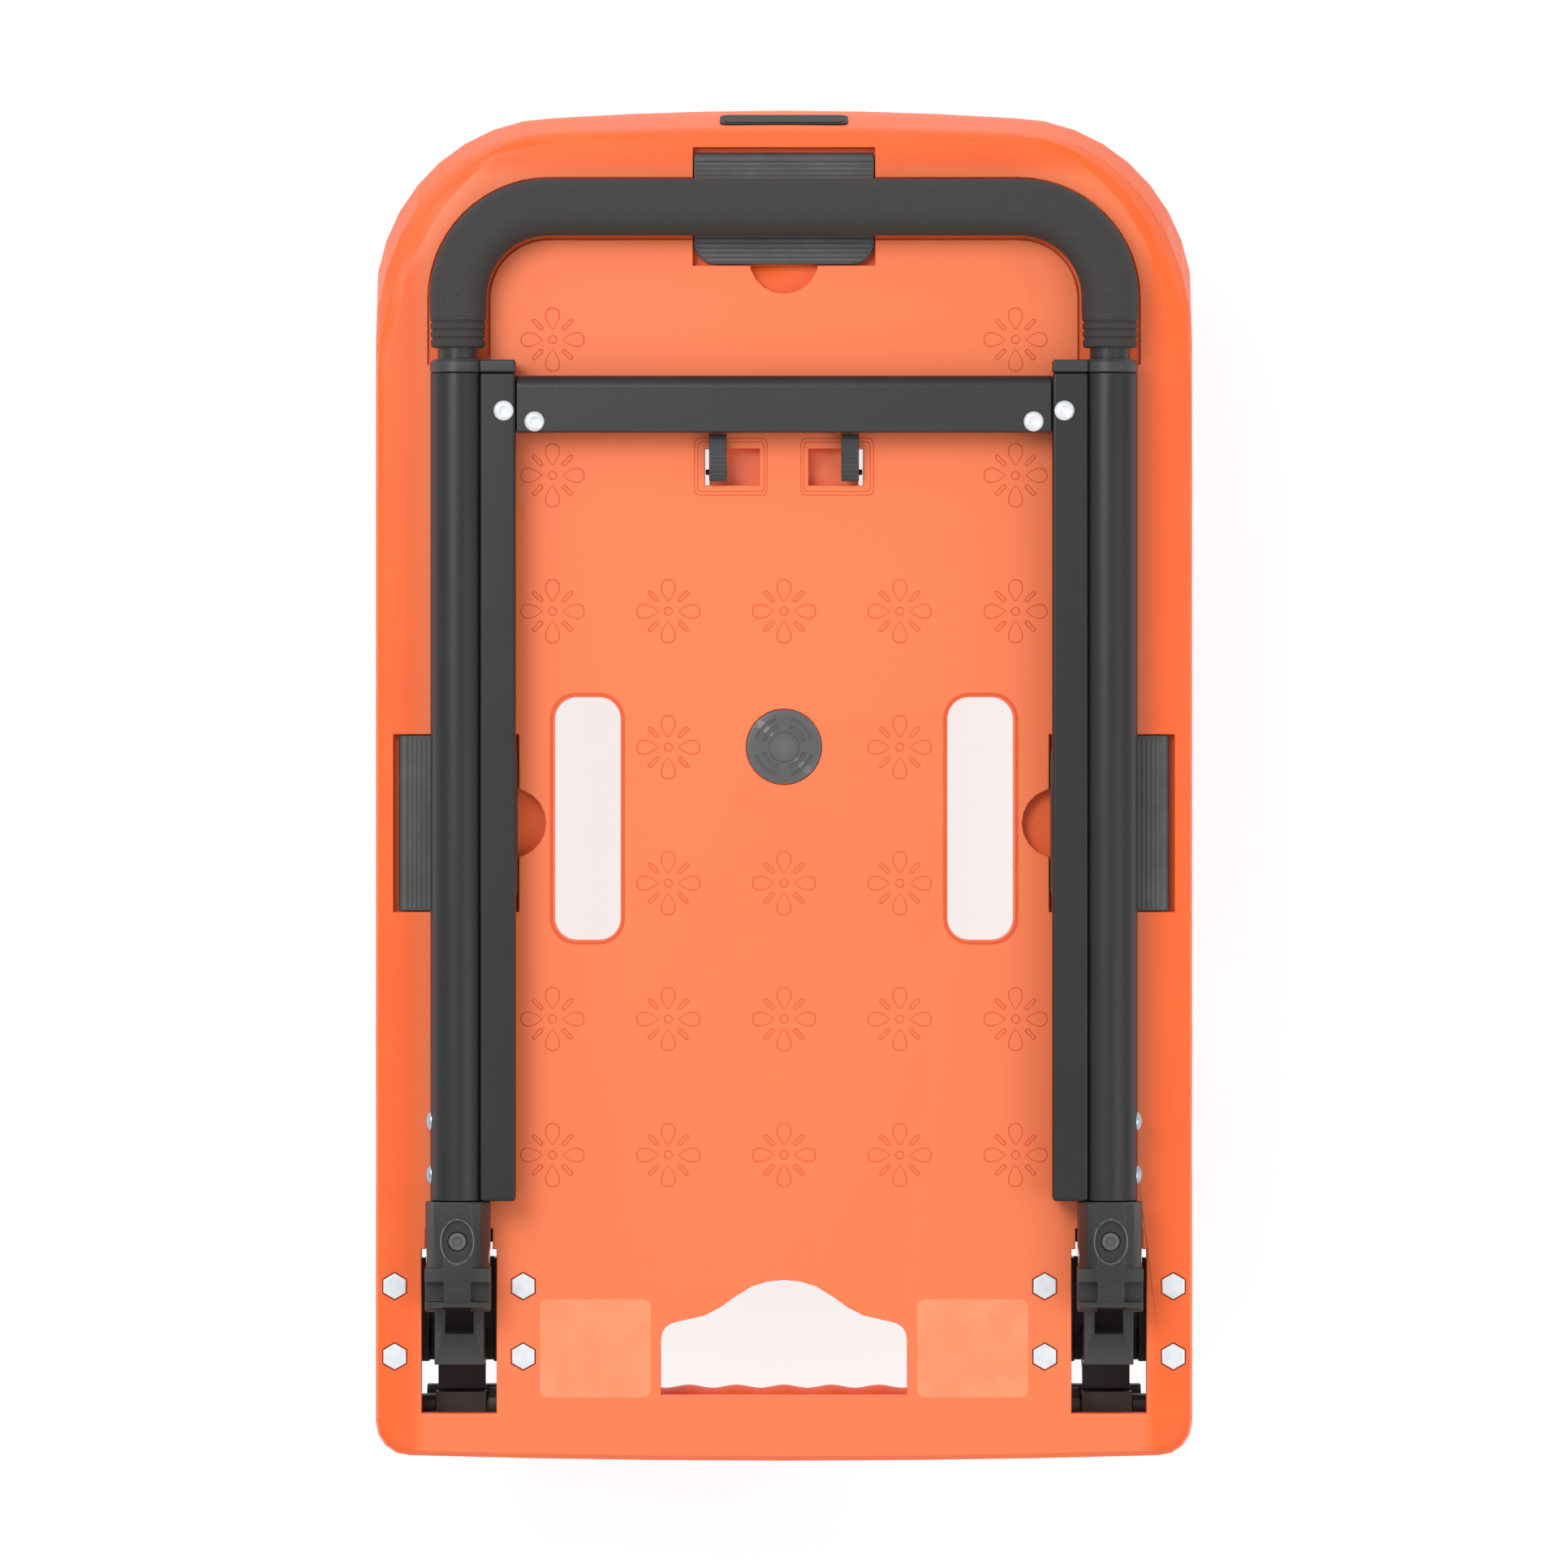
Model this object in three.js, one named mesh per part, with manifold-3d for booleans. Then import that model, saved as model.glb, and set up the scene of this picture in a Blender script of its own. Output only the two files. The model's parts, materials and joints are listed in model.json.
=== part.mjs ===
// Folding platform cart, lying folded flat: a moulded deck, four castors on two folding side beams,
// and a telescopic handle. Millimetres, +Z up, +Y towards the front end (away from the handle
// hinge), origin in the middle of the footprint at the level of the lowest face.
import * as THREE from 'three';
import { mergeVertices } from 'three/addons/utils/BufferGeometryUtils.js';
import Module from 'manifold-3d';

const wasm = await Module();
wasm.setup();

// ---------- driving dimensions ----------
const deckLength = 740;
const deckWidth = 448;
const deckTop = 71.2;             // level of the load face
const plate = 3.5;                // thickness of the load plate
const wall = 3.2;                 // thickness of the skirt
const skirtLevel = 35;            // lower edge of the skirt along the sides
const frontLipLevel = 17.4;
const rearLipLevel = 16.6;
const ribThickness = 2.2;

const clearance = 0.3;            // between pieces that touch or slide on each other
const railInset = 47;             // side of the deck to the axis of tubes and beams
const pivotLevel = 40;            // axis that the wheel beams fold about
const frameTubeRadius = 6;
const frameBend = 48;             // bend radius of the frame tube's axis

const hingeInset = 113.6;         // rear edge of the deck to the handle's hinge pin
const hingeDrop = 1.5;            // hinge pin below the handle tubes' axis
const pinRadius = 5;
const outerTubeRadius = 15;
const innerTubeRadius = 11;
const tubeWall = 1.4;
const foamRadius = 15.5;
const gripInset = 56.7;           // front edge of the deck to the grip's centreline
const gripBend = 49;
const foamStart = 133;            // front edge of the deck to the ends of the foam
const collarInset = 139.5;        // front edge of the deck to the mouth of the outer tubes
const legReach = 520;             // front edge of the deck to the ends of the inner tubes

const wheelRadius = 44.5;
const wheelWidth = 28;
const tyreDepth = 10.2;
const axleRadius = 4;
const castorReach = 120.5;        // beam axis to the middle of the wheel
const castorTrail = 32.2;         // stem axis to the axle
const stemRadius = 5;
const frontStemInset = 157.5;     // front edge of the deck to the front castors' stems
const rearStemInset = 164;        // rear edge of the deck to the rear castors' stems

const releaseInset = 29;          // rear edge of the deck to the release bar
const releaseLevel = 24;
const thumbHeight = 16;           // top of the thumb block, just under the rear skirt
const wireRadius = 1.4;
const coverTop = 35;
const coverThickness = 3.5;
const buttonRadius = 5;

// ---------- derived places ----------
const halfWidth = deckWidth / 2;
const halfLength = deckLength / 2;
const plateUnder = deckTop - plate;
const railX = halfWidth - railInset;
const hingeY = hingeInset - halfLength;
const handleLevel = deckTop + clearance + Math.max(foamRadius, outerTubeRadius + 0.5);
const hingeLevel = handleLevel - hingeDrop;
const gripY = halfLength - gripInset;
const collarY = halfLength - collarInset;
const frontStemY = halfLength - frontStemInset;
const rearStemY = rearStemInset - halfLength;
const releaseY = releaseInset - halfLength;
const frameFrontY = halfLength - 56;
const dogPinY = frontStemY - 102.5;
const buttonY = hingeY + 8.4;
const bore = (radius) => radius + clearance;
const mirrored = (pair, side) => pair.map((value) => side * value).sort((a, b) => a - b);

const orange = new THREE.MeshStandardMaterial({ color: 0xff6b2b, roughness: 0.5 });
const black = new THREE.MeshStandardMaterial({ color: 0x2b2b2b, roughness: 0.45 });
const steel = new THREE.MeshStandardMaterial({ color: 0x262626, roughness: 0.4, metalness: 0.4 });
const foam = new THREE.MeshStandardMaterial({ color: 0x3a3838, roughness: 0.95 });
const rubber = new THREE.MeshStandardMaterial({ color: 0x1d1d1d, roughness: 0.9 });
const zinc = new THREE.MeshStandardMaterial({ color: 0xa5b9be, roughness: 0.3, metalness: 0.9 });

// ---------- solids ----------
// Every shape is a three.js geometry turned into a closed solid, so that it can be joined and cut.
function toSolid(geometry) {
  geometry.deleteAttribute('normal');
  geometry.deleteAttribute('uv');
  const merged = mergeVertices(geometry, 1e-4);
  return new wasm.Manifold(new wasm.Mesh({
    numProp: 3,
    vertProperties: new Float32Array(merged.attributes.position.array),
    triVerts: new Uint32Array(merged.index.array),
  }));
}

function toGeometry(solid, flipped) {
  const { vertProperties, triVerts } = solid.getMesh();
  const positions = Float32Array.from(vertProperties);
  const indices = Array.from(triVerts);
  if (flipped) {
    for (let i = 0; i < positions.length; i += 3) positions[i] *= -1;
    indices.reverse();
  }
  const geometry = new THREE.BufferGeometry();
  geometry.setAttribute('position', new THREE.BufferAttribute(positions, 3));
  geometry.setIndex(indices);
  geometry.computeVertexNormals();
  return geometry;
}

const join = (first, ...others) => others.reduce((sum, next) => sum.add(next), first);
const cut = (first, ...others) => others.reduce((rest, next) => rest.subtract(next), first);

function block(x, y, z) {
  const geometry = new THREE.BoxGeometry(x[1] - x[0], y[1] - y[0], z[1] - z[0]);
  geometry.translate((x[0] + x[1]) / 2, (y[0] + y[1]) / 2, (z[0] + z[1]) / 2);
  return toSolid(geometry);
}

// A round bar along an axis, from one end to the other, through the point (across, up) beside it.
function rod(axis, radius, ends, at = [0, 0], sides = 24) {
  const geometry = new THREE.CylinderGeometry(radius, radius, ends[1] - ends[0], sides);
  geometry.translate(0, (ends[0] + ends[1]) / 2, 0);
  if (axis === 'x') geometry.rotateZ(-Math.PI / 2).translate(0, at[0], at[1]);
  if (axis === 'y') geometry.translate(at[0], 0, at[1]);
  if (axis === 'z') geometry.rotateX(Math.PI / 2).translate(at[0], at[1], 0);
  return toSolid(geometry);
}

// A flat outline given a thickness: drawn in XY, in YZ (thick along X) or in XZ (thick along Y).
function slab(plane, shape, ends, curveSegments = 8) {
  const depth = ends[1] - ends[0];
  const geometry = new THREE.ExtrudeGeometry(shape, { depth, bevelEnabled: false, curveSegments });
  geometry.translate(0, 0, plane === 'xz' ? -ends[1] : ends[0]);
  if (plane === 'yz') geometry.rotateX(Math.PI / 2).rotateZ(Math.PI / 2);
  if (plane === 'xz') geometry.rotateX(Math.PI / 2);
  return toSolid(geometry);
}

function turned(axis, profile, at = [0, 0], sides = 40) {
  const geometry = new THREE.LatheGeometry(profile.map(([r, h]) => new THREE.Vector2(r, h)), sides);
  if (axis === 'x') geometry.rotateZ(-Math.PI / 2).translate(0, at[0], at[1]);
  if (axis === 'z') geometry.rotateX(Math.PI / 2).translate(at[0], at[1], 0);
  return toSolid(geometry);
}

function roundedRectangle(x, y, radius) {
  const shape = new THREE.Shape();
  shape.moveTo(x[0] + radius, y[0]);
  shape.lineTo(x[1] - radius, y[0]);
  shape.absarc(x[1] - radius, y[0] + radius, radius, -Math.PI / 2, 0);
  shape.lineTo(x[1], y[1] - radius);
  shape.absarc(x[1] - radius, y[1] - radius, radius, 0, Math.PI / 2);
  shape.lineTo(x[0] + radius, y[1]);
  shape.absarc(x[0] + radius, y[1] - radius, radius, Math.PI / 2, Math.PI);
  shape.lineTo(x[0], y[0] + radius);
  shape.absarc(x[0] + radius, y[0] + radius, radius, Math.PI, Math.PI * 1.5);
  return shape;
}

const polygon = (points) => new THREE.Shape(points.map(([u, v]) => new THREE.Vector2(u, v)));

// A path through chosen stations, each with its own direction, for tubes with straight runs.
class StationPath extends THREE.Curve {
  constructor(stations) {
    super();
    this.stations = stations;
  }

  getPoint(t) {
    return this.stations[Math.round(t * (this.stations.length - 1))].point.clone();
  }

  getPointAt(u) {
    return this.getPoint(u);
  }

  getTangent(t) {
    return this.stations[Math.round(t * (this.stations.length - 1))].direction.clone();
  }

  getTangentAt(u) {
    return this.getTangent(u);
  }
}

function sweep(path, radius, sides) {
  const section = new THREE.Shape();
  for (let i = 0; i < sides; i += 1) {
    const turn = (i / sides) * Math.PI * 2;
    const corner = [Math.cos(turn) * radius, Math.sin(turn) * radius];
    if (i === 0) section.moveTo(...corner);
    else section.lineTo(...corner);
  }
  const steps = path.stations.length - 1;
  return toSolid(new THREE.ExtrudeGeometry(section, { steps, extrudePath: path }));
}

// A hoop: two legs along Y at +-x, joined by a bend each and a run across at y = top.
function hoopPath(x, legEnd, top, bend, bendSteps = 6) {
  const stations = [];
  const add = (px, py, dx, dy) => stations.push({
    point: new THREE.Vector3(px, py, 0),
    direction: new THREE.Vector3(dx, dy, 0),
  });
  add(x, legEnd, 0, 1);
  for (const side of [1, -1]) {
    for (let i = 0; i <= bendSteps; i += 1) {
      const turn = ((side === 1 ? i : bendSteps - i) / bendSteps) * (Math.PI / 2);
      const across = side * (x - bend + bend * Math.cos(turn));
      add(across, top - bend + bend * Math.sin(turn), -Math.sin(turn), side * Math.cos(turn));
    }
  }
  add(-x, legEnd, 0, -1);
  return new StationPath(stations);
}

// ---------- deck ----------
const frontBow = 3;
const rearBow = 3;
const lipFlare = 0.8;             // brings the front lip out to the full length

// One horizontal outline of the deck, anticlockwise from the rear right corner. Corners are
// quarter ellipses, and the front and rear edges bow outwards.
function deckOutline({ half, rear, front, cornerX, cornerY, rearCorner }) {
  const points = [];
  const corner = (cx, cy, rx, ry, start, steps) => {
    for (let i = 0; i <= steps; i += 1) {
      const turn = start + (i / steps) * (Math.PI / 2);
      points.push([cx + rx * Math.cos(turn), cy + ry * Math.sin(turn)]);
    }
  };
  const edge = (from, to, y, bow) => {
    for (const share of [0.17, 0.33, 0.5, 0.67, 0.83]) {
      const x = from + (to - from) * share;
      points.push([x, y + bow * (1 - (x / from) ** 2)]);
    }
  };
  const shoulder = front - frontBow;
  const heel = rear + rearBow;
  corner(half - rearCorner, heel + rearCorner, rearCorner, rearCorner, -Math.PI / 2, 4);
  corner(half - cornerX, shoulder - cornerY, cornerX, cornerY, 0, 9);
  edge(half - cornerX, cornerX - half, shoulder, frontBow);
  corner(cornerX - half, shoulder - cornerY, cornerX, cornerY, Math.PI / 2, 9);
  corner(rearCorner - half, heel + rearCorner, rearCorner, rearCorner, Math.PI, 4);
  edge(rearCorner - half, half - rearCorner, heel, -rearBow);
  return points;
}

// A body whose outline changes from level to level.
function loft(levels) {
  const base = levels[0].outline;
  const steps = levels.length - 1;
  const settings = { depth: steps, steps, bevelEnabled: false };
  const geometry = new THREE.ExtrudeGeometry(polygon(base), settings);
  const position = geometry.attributes.position;
  for (let i = 0; i < position.count; i += 1) {
    const level = levels[Math.round(position.getZ(i))];
    const corner = base.findIndex(([x, y]) => (
      Math.hypot(x - position.getX(i), y - position.getY(i)) < 0.01));
    const [x, y] = level.outline[corner];
    position.setXYZ(i, x, y, level.z);
  }
  return toSolid(geometry);
}

function deckBody(inset, bottom, top) {
  const level = (z, side, front, cornerX, cornerY, rear) => ({
    z,
    outline: deckOutline({
      half: halfWidth - side - inset,
      rear: rear + inset - halfLength,
      front: halfLength - front - inset,
      cornerX: cornerX - inset,
      cornerY: cornerY - inset,
      rearCorner: 18 - inset,
    }),
  });
  return loft([
    level(bottom, 0, -lipFlare, 98, 98, 0),
    level(skirtLevel, 0.3, 3.5, 98, 100, 0.3),
    level(top - 9.5, 1.4, 11, 97, 116, 0.9),
    level(top - 3, 2.8, 13.6, 96, 134, 1.6),
    level(top, 6.2, 17, 94, 150, 4),
  ]);
}

// What the curved lower edge of the skirt leaves away, drawn in YZ.
function skirtCut() {
  const shape = new THREE.Shape();
  shape.moveTo(-halfLength - 20, -20);
  shape.lineTo(-halfLength - 20, rearLipLevel);
  shape.lineTo(hingeY - 8, rearLipLevel);
  shape.bezierCurveTo(hingeY - 1, rearLipLevel, hingeY - 1, skirtLevel, hingeY + 6, skirtLevel);
  shape.lineTo(halfLength - 49, skirtLevel);
  shape.bezierCurveTo(
    halfLength - 30, skirtLevel - 2, halfLength - 8, skirtLevel - 5, halfLength - 4.6, frontLipLevel + 8,
  );
  shape.lineTo(halfLength + 0.2, frontLipLevel);
  shape.lineTo(halfLength + 20, frontLipLevel);
  shape.lineTo(halfLength + 20, -20);
  return slab('yz', shape, [-halfWidth - 20, halfWidth + 20], 6);
}

const archRadius = 82;
const archLevel = -19;            // centre of the arches on the side faces
const archDepth = 1.5;

// The shallow arches over the wheels and the facet between them, on one side face.
function sideRelief() {
  const across = [halfWidth - archDepth, halfWidth + 20];
  const frontArch = rod('x', archRadius, across, [frontStemY + 15, archLevel], 40);
  const rearArch = rod('x', archRadius, across, [rearStemY + 8.5, archLevel], 40);
  const facet = slab('yz', polygon([
    [rearStemY + 74, skirtLevel - 30],
    [frontStemY - 58, skirtLevel - 30],
    [frontStemY - 58, 46],
    [rearStemY + 74, 61],
  ]), [halfWidth - 1, halfWidth + 20]);
  return join(frontArch, rearArch, facet);
}

const handHoleRear = 37;          // rear edge of the deck to the rear of the hand hole
function handHoleShape(grow) {
  const rear = handHoleRear - halfLength - grow;
  const front = rear + 40.5 + grow * 2;
  const shape = new THREE.Shape();
  shape.moveTo(-67 - grow, rear);
  shape.lineTo(67 + grow, rear);
  shape.lineTo(67 + grow, rear + 30 + grow);
  shape.quadraticCurveTo(67 + grow, front - 1.5, 57, front);
  shape.bezierCurveTo(34, front + 3, 34, front + 10.5, 17.4, front + 19);
  shape.quadraticCurveTo(0, front + 26, -17.4, front + 19);
  shape.bezierCurveTo(-34, front + 10.5, -34, front + 3, -57, front);
  shape.quadraticCurveTo(-67 - grow, front - 1.5, -67 - grow, rear + 30 + grow);
  return shape;
}

const slotX = [89, 125];
const slotY = [-85, 47.4];
const windowX = [13.3, 43];
const windowY = [collarY - 67.9, collarY - 47.9];
const capCentre = [0, 20.2];
const capRadius = 20.5;
const capDepth = 1.8;
const capClips = 15;              // radius that the cap's snap legs stand on
const knuckleHalf = 17.7;
const knuckleRear = 30;           // hinge pin to the rounded end of the knuckle
const hingeSlotHalf = 20.5;
const hingeSlotRear = hingeY - 86.3;
const boltX = [railX - 35, railX + 35];
const boltY = [hingeY - 17.1, hingeY - 55.4];
const boltRadius = 4;
const boltHeadFlats = 13;
const bracketTop = 20;
const coverScrews = [[railX + 28, frontStemY + 6.5], [railX + 30, 38], [railX + 30, rearStemY + 63]];

const flapThickness = 6;
const flapBarrel = 4;
const flapPinRadius = 2;
const pocketDepth = 8;
const pocketFloor = 2.4;
const frontFlap = { half: 49, inner: halfLength - 87, hinge: halfLength - 30 };
const sideFlap = { inner: railX - 32, hinge: halfWidth - 18, y: [-69, 26.4] };
const notchRadius = 18.8;

// The wells that the stop flaps lie in: their outside is joined to the deck, their inside cut away.
function flapWells(grow, depth) {
  const levels = [deckTop - depth, deckTop + (grow ? 0 : 5)];
  const room = 2.6 + grow;
  const front = block(
    [-frontFlap.half - clearance * 2 - grow, frontFlap.half + clearance * 2 + grow],
    [frontFlap.inner - clearance * 2 - grow, frontFlap.hinge + flapBarrel + room],
    levels,
  );
  const wells = [front, rod('z', notchRadius + grow, levels, [0, frontFlap.inner + 3], 20)];
  for (const side of [1, -1]) {
    const x = mirrored([sideFlap.inner - clearance * 2 - grow, sideFlap.hinge + flapBarrel + room], side);
    const y = [sideFlap.y[0] - clearance * 2 - grow, sideFlap.y[1] + clearance * 2 + grow];
    wells.push(block(x, y, levels));
    const middle = (sideFlap.y[0] + sideFlap.y[1]) / 2;
    wells.push(rod('z', notchRadius + grow, levels, [side * (sideFlap.inner + 3.5), middle], 20));
  }
  return join(...wells);
}

function flapPinHoles() {
  const level = deckTop - flapBarrel;
  const reach = 3.4;
  const radius = bore(flapPinRadius);
  const half = frontFlap.half + reach;
  const holes = [rod('x', radius, [-half, half], [frontFlap.hinge, level], 8)];
  for (const side of [1, -1]) {
    const y = [sideFlap.y[0] - reach, sideFlap.y[1] + reach];
    holes.push(rod('y', radius, y, [side * sideFlap.hinge, level], 8));
  }
  return join(...holes);
}

function deckOpenings() {
  const through = [deckTop - 60, deckTop + 5];
  const tools = [slab('xy', handHoleShape(0), through, 4)];
  for (const side of [1, -1]) {
    tools.push(slab('xy', roundedRectangle(mirrored(slotX, side), slotY, 12), through, 4));
    tools.push(block(mirrored(windowX, side), windowY, through));
    const slot = [railX - hingeSlotHalf, railX + hingeSlotHalf];
    tools.push(block(mirrored(slot, side), [hingeSlotRear, hingeY + 3.1], through));
    const relief = [railX - knuckleHalf - clearance * 2, railX + knuckleHalf + clearance * 2];
    tools.push(block(mirrored(relief, side), [hingeY, hingeY + 14.4], through));
    for (const x of boltX) {
      for (const y of boltY) {
        const head = boltHeadFlats / 2 / Math.cos(Math.PI / 6) + clearance;
        tools.push(rod('z', head, [deckTop - 5.5, deckTop + 5], [side * x, y], 6));
        tools.push(rod('z', boltRadius + clearance, [0, deckTop], [side * x, y], 8));
      }
    }
  }
  const [cx, cy] = capCentre;
  tools.push(rod('z', capRadius + clearance, [deckTop - capDepth - clearance, deckTop + 5], [cx, cy], 28));
  for (const [dx, dy] of [[1, 1], [-1, 1], [-1, -1], [1, -1]]) {
    const at = [cx + dx * capClips * Math.SQRT1_2, cy + dy * capClips * Math.SQRT1_2];
    tools.push(rod('z', 2.6, [deckTop - 20, deckTop], at, 8));
  }
  return join(...tools);
}

// Walls and ribs under the load plate, each from its own lower level up into the plate. The ribs
// that run across reach a little lower than those that run along.
const ribLevel = { grid: 46, rail: 36, slot: 50, window: 54, hinge: 58, shallow: 61 };
const rimWidth = 2.4;             // walls around the openings
const crossStep = 0.4;
const gridReach = 127;
const gridEnds = [rearStemY + 96, frontStemY - 60.5];

function deckRibs() {
  const ribs = [];
  const up = (level) => [level, plateUnder + 1];
  const around = (pair, margin) => [pair[0] - margin, pair[1] + margin];
  const along = (x, y, level) => ribs.push(block(around([x, x], ribThickness / 2), y, up(level)));
  const across = (x, y, level) => (
    ribs.push(block(x, around([y, y], ribThickness / 2), up(level - crossStep))));

  for (const share of [0, 0.25, 0.5, 0.75, 1]) {
    const y = gridEnds[0] + (gridEnds[1] - gridEnds[0]) * share;
    across(around([-gridReach, gridReach], ribThickness / 2), y, ribLevel.grid);
  }
  for (const x of [-gridReach, -79, 0, 79, gridReach]) along(x, gridEnds, ribLevel.grid);
  along(0, [gridEnds[1], halfLength - 20], ribLevel.shallow);
  along(0, [rearStemY - 60, gridEnds[0]], ribLevel.shallow);
  across([-150, 150], halfLength - 106, ribLevel.shallow);
  ribs.push(slab('xy', handHoleShape(rimWidth), up(60), 4));

  for (const side of [1, -1]) {
    for (const x of [30, 72, 108]) {
      along(side * x, [rearStemY + 40, gridEnds[0]], ribLevel.shallow);
      along(side * x, [rearStemY - 62, rearStemY - 34], ribLevel.shallow);
    }
    for (const x of [railX - 10.5, railX + 10]) {
      along(side * x, [rearStemY + 101, frontStemY - 139.5], ribLevel.rail);
    }
    along(side * 108, [halfLength - 106, halfLength - 18], ribLevel.shallow);
    const slotRim = around(mirrored(slotX, side), rimWidth);
    ribs.push(slab('xy', roundedRectangle(slotRim, around(slotY, rimWidth), 14), up(ribLevel.slot), 4));
    const hingeRim = mirrored([railX - hingeSlotHalf - rimWidth, railX + hingeSlotHalf + rimWidth], side);
    ribs.push(block(hingeRim, [hingeSlotRear - rimWidth, hingeY + 5.5], up(ribLevel.hinge)));
    const windowRim = around(mirrored(windowX, side), rimWidth);
    ribs.push(block(windowRim, around(windowY, rimWidth), up(ribLevel.window)));
    for (const x of boltX) {
      for (const y of boltY) ribs.push(rod('z', 9, up(bracketTop + clearance), [side * x, y], 10));
    }
    for (const [x, y] of coverScrews) ribs.push(rod('z', 5, up(coverTop + clearance), [side * x, y], 8));
    for (const [x, inset] of [[126, 48.5], [109, 48.5], [65, 17]]) {
      ribs.push(rod('z', 4.5, up(ribLevel.hinge), [side * x, inset - halfLength], 8));
    }
    const well = [side * (railX - castorReach), frontStemY + castorTrail];
    const wellRadius = wheelRadius + 17;
    ribs.push(cut(
      rod('z', wellRadius, up(ribLevel.shallow - crossStep * 2), well, 20),
      rod('z', wellRadius - ribThickness, [ribLevel.slot, plateUnder + 2], well, 20),
    ));
  }
  return join(...ribs);
}

// The bed of the foam grip: a shallow groove in the load face, as wide as the foam and its clearance.
function gripBed() {
  const half = foamRadius + 1.4;
  const levels = [deckTop - 2, deckTop + 5];
  const hoop = (x, top, radius) => {
    const shape = new THREE.Shape();
    shape.moveTo(-x, collarY - 2);
    shape.lineTo(x, collarY - 2);
    shape.lineTo(x, top - radius);
    shape.absarc(x - radius, top - radius, radius, 0, Math.PI / 2);
    shape.lineTo(radius - x, top);
    shape.absarc(radius - x, top - radius, radius, Math.PI / 2, Math.PI);
    return slab('xy', shape, levels, 7);
  };
  const outside = hoop(railX + half, gripY + half, gripBend + half);
  const inside = hoop(railX - half, gripY - half, gripBend - half);
  return cut(outside, inside);
}

function deckShell() {
  const outer = deckBody(0, frontLipLevel - 4, deckTop);
  const inner = deckBody(wall, frontLipLevel - 10, plateUnder);
  const walls = cut(outer, inner);
  const inside = outer.intersect(join(deckRibs(), flapWells(pocketFloor, pocketDepth + pocketFloor)));
  const right = sideRelief();
  const left = toSolid(toGeometry(right, true));
  return cut(
    join(walls, inside), skirtCut(), deckOpenings(), flapWells(0, pocketDepth),
    flapPinHoles(), gripBed(), right, left,
  );
}

// ---------- pieces fixed to the deck ----------
function frameRail() {
  return sweep(hoopPath(railX, hingeY + 3, frameFrontY, frameBend), frameTubeRadius, 12);
}

const bracketY = [hingeY - 60.6, hingeY - 3.6];
function hingeBracket() {
  const sheet = 3;
  const hat = polygon([
    [-43, bracketTop - sheet], [-20.5, bracketTop - sheet], [-20.5, 0], [20.5, 0],
    [20.5, bracketTop - sheet], [43, bracketTop - sheet], [43, bracketTop],
    [20.5 - sheet, bracketTop], [20.5 - sheet, sheet], [sheet - 20.5, sheet],
    [sheet - 20.5, bracketTop], [-43, bracketTop],
  ]);
  const arm = polygon([
    [hingeY - 11.6, 0], [hingeY - 3.6, 0], [hingeY - 1.4, 6], [hingeY - 1.4, hingeLevel],
    [hingeY - 11.6, hingeLevel - 12],
  ]);
  const holes = boltX.flatMap((x) => boltY.map((y) => (
    rod('z', boltRadius + clearance, [0, bracketTop + 5], [x - railX, y], 8))));
  return cut(
    join(
      slab('xz', hat, bracketY),
      slab('yz', arm, [-6.5, 6.5]),
      rod('x', pinRadius + 4, [-6.5, 6.5], [hingeY, hingeLevel], 16),
    ),
    rod('x', bore(pinRadius), [-20, 20], [hingeY, hingeLevel], 12),
    ...holes,
  );
}

function hingePin() {
  return rod('x', pinRadius, [0.4 - knuckleHalf, knuckleHalf - 0.4], [hingeY, hingeLevel], 12);
}

function sideCover() {
  const outer = halfWidth - wall - clearance * 2 - railX;
  const inner = 17.8;
  const step = 6.5;
  const ends = [rearStemY + 44, frontStemY + 22.5];
  const wide = [rearStemY + 55, frontStemY - 38.5];
  const outline = polygon([
    [inner, ends[0]], [outer - step, ends[0]], [outer - step, wide[0]], [outer, wide[0]],
    [outer, wide[1]], [outer - step, wide[1]], [outer - step, ends[1]], [inner, ends[1]],
  ]);
  const bottom = coverTop - coverThickness;
  const lip = block([inner, inner + 2.2], wide, [bottom, coverTop + 6]);
  return cut(
    join(slab('xy', outline, [bottom, coverTop]), lip),
    block([inner - 5, inner + 5], [dogPinY - 22, dogPinY + 12], [coverTop - 0.5, coverTop + 10]),
  );
}

function centreCap() {
  const legs = [[1, 1], [-1, 1], [-1, -1], [1, -1]].map(([dx, dy]) => rod(
    'z', 2, [-9, -capDepth + 0.5], [dx * capClips * Math.SQRT1_2, dy * capClips * Math.SQRT1_2], 8,
  ));
  return join(rod('z', capRadius, [-capDepth, 0], [0, 0], 28), ...legs);
}

// ---------- handle, measured from the axis of its tubes ----------
const barX = [-outerTubeRadius - 16.3, 3 - outerTubeRadius]; // side bar beside each outer tube
const barZ = [-10, 11];
const hingeBelow = hingeLevel - handleLevel;
const tubeMouth = collarY - 7.5;
const tubeHeel = hingeY + 30.2;
const crossbarY = [collarY - 39.7, collarY - 8.7];

function outerTube() {
  const body = join(
    rod('y', outerTubeRadius, [tubeHeel, tubeMouth], [0, 0], 20),
    slab('xz', roundedRectangle(barX, barZ, 1.5), [tubeHeel, tubeMouth], 2),
  );
  return cut(body, rod('y', bore(innerTubeRadius), [tubeHeel - 5, tubeMouth + 5], [0, 0], 16));
}

function tubeCollar() {
  const body = join(
    rod('y', outerTubeRadius + 0.2, [tubeMouth + clearance, collarY], [0, 0], 20),
    block([barX[0], barX[1]], [tubeMouth + clearance, collarY], barZ),
  );
  return cut(body, rod('y', bore(innerTubeRadius), [tubeMouth - 5, collarY + 5], [0, 0], 16));
}

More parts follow.
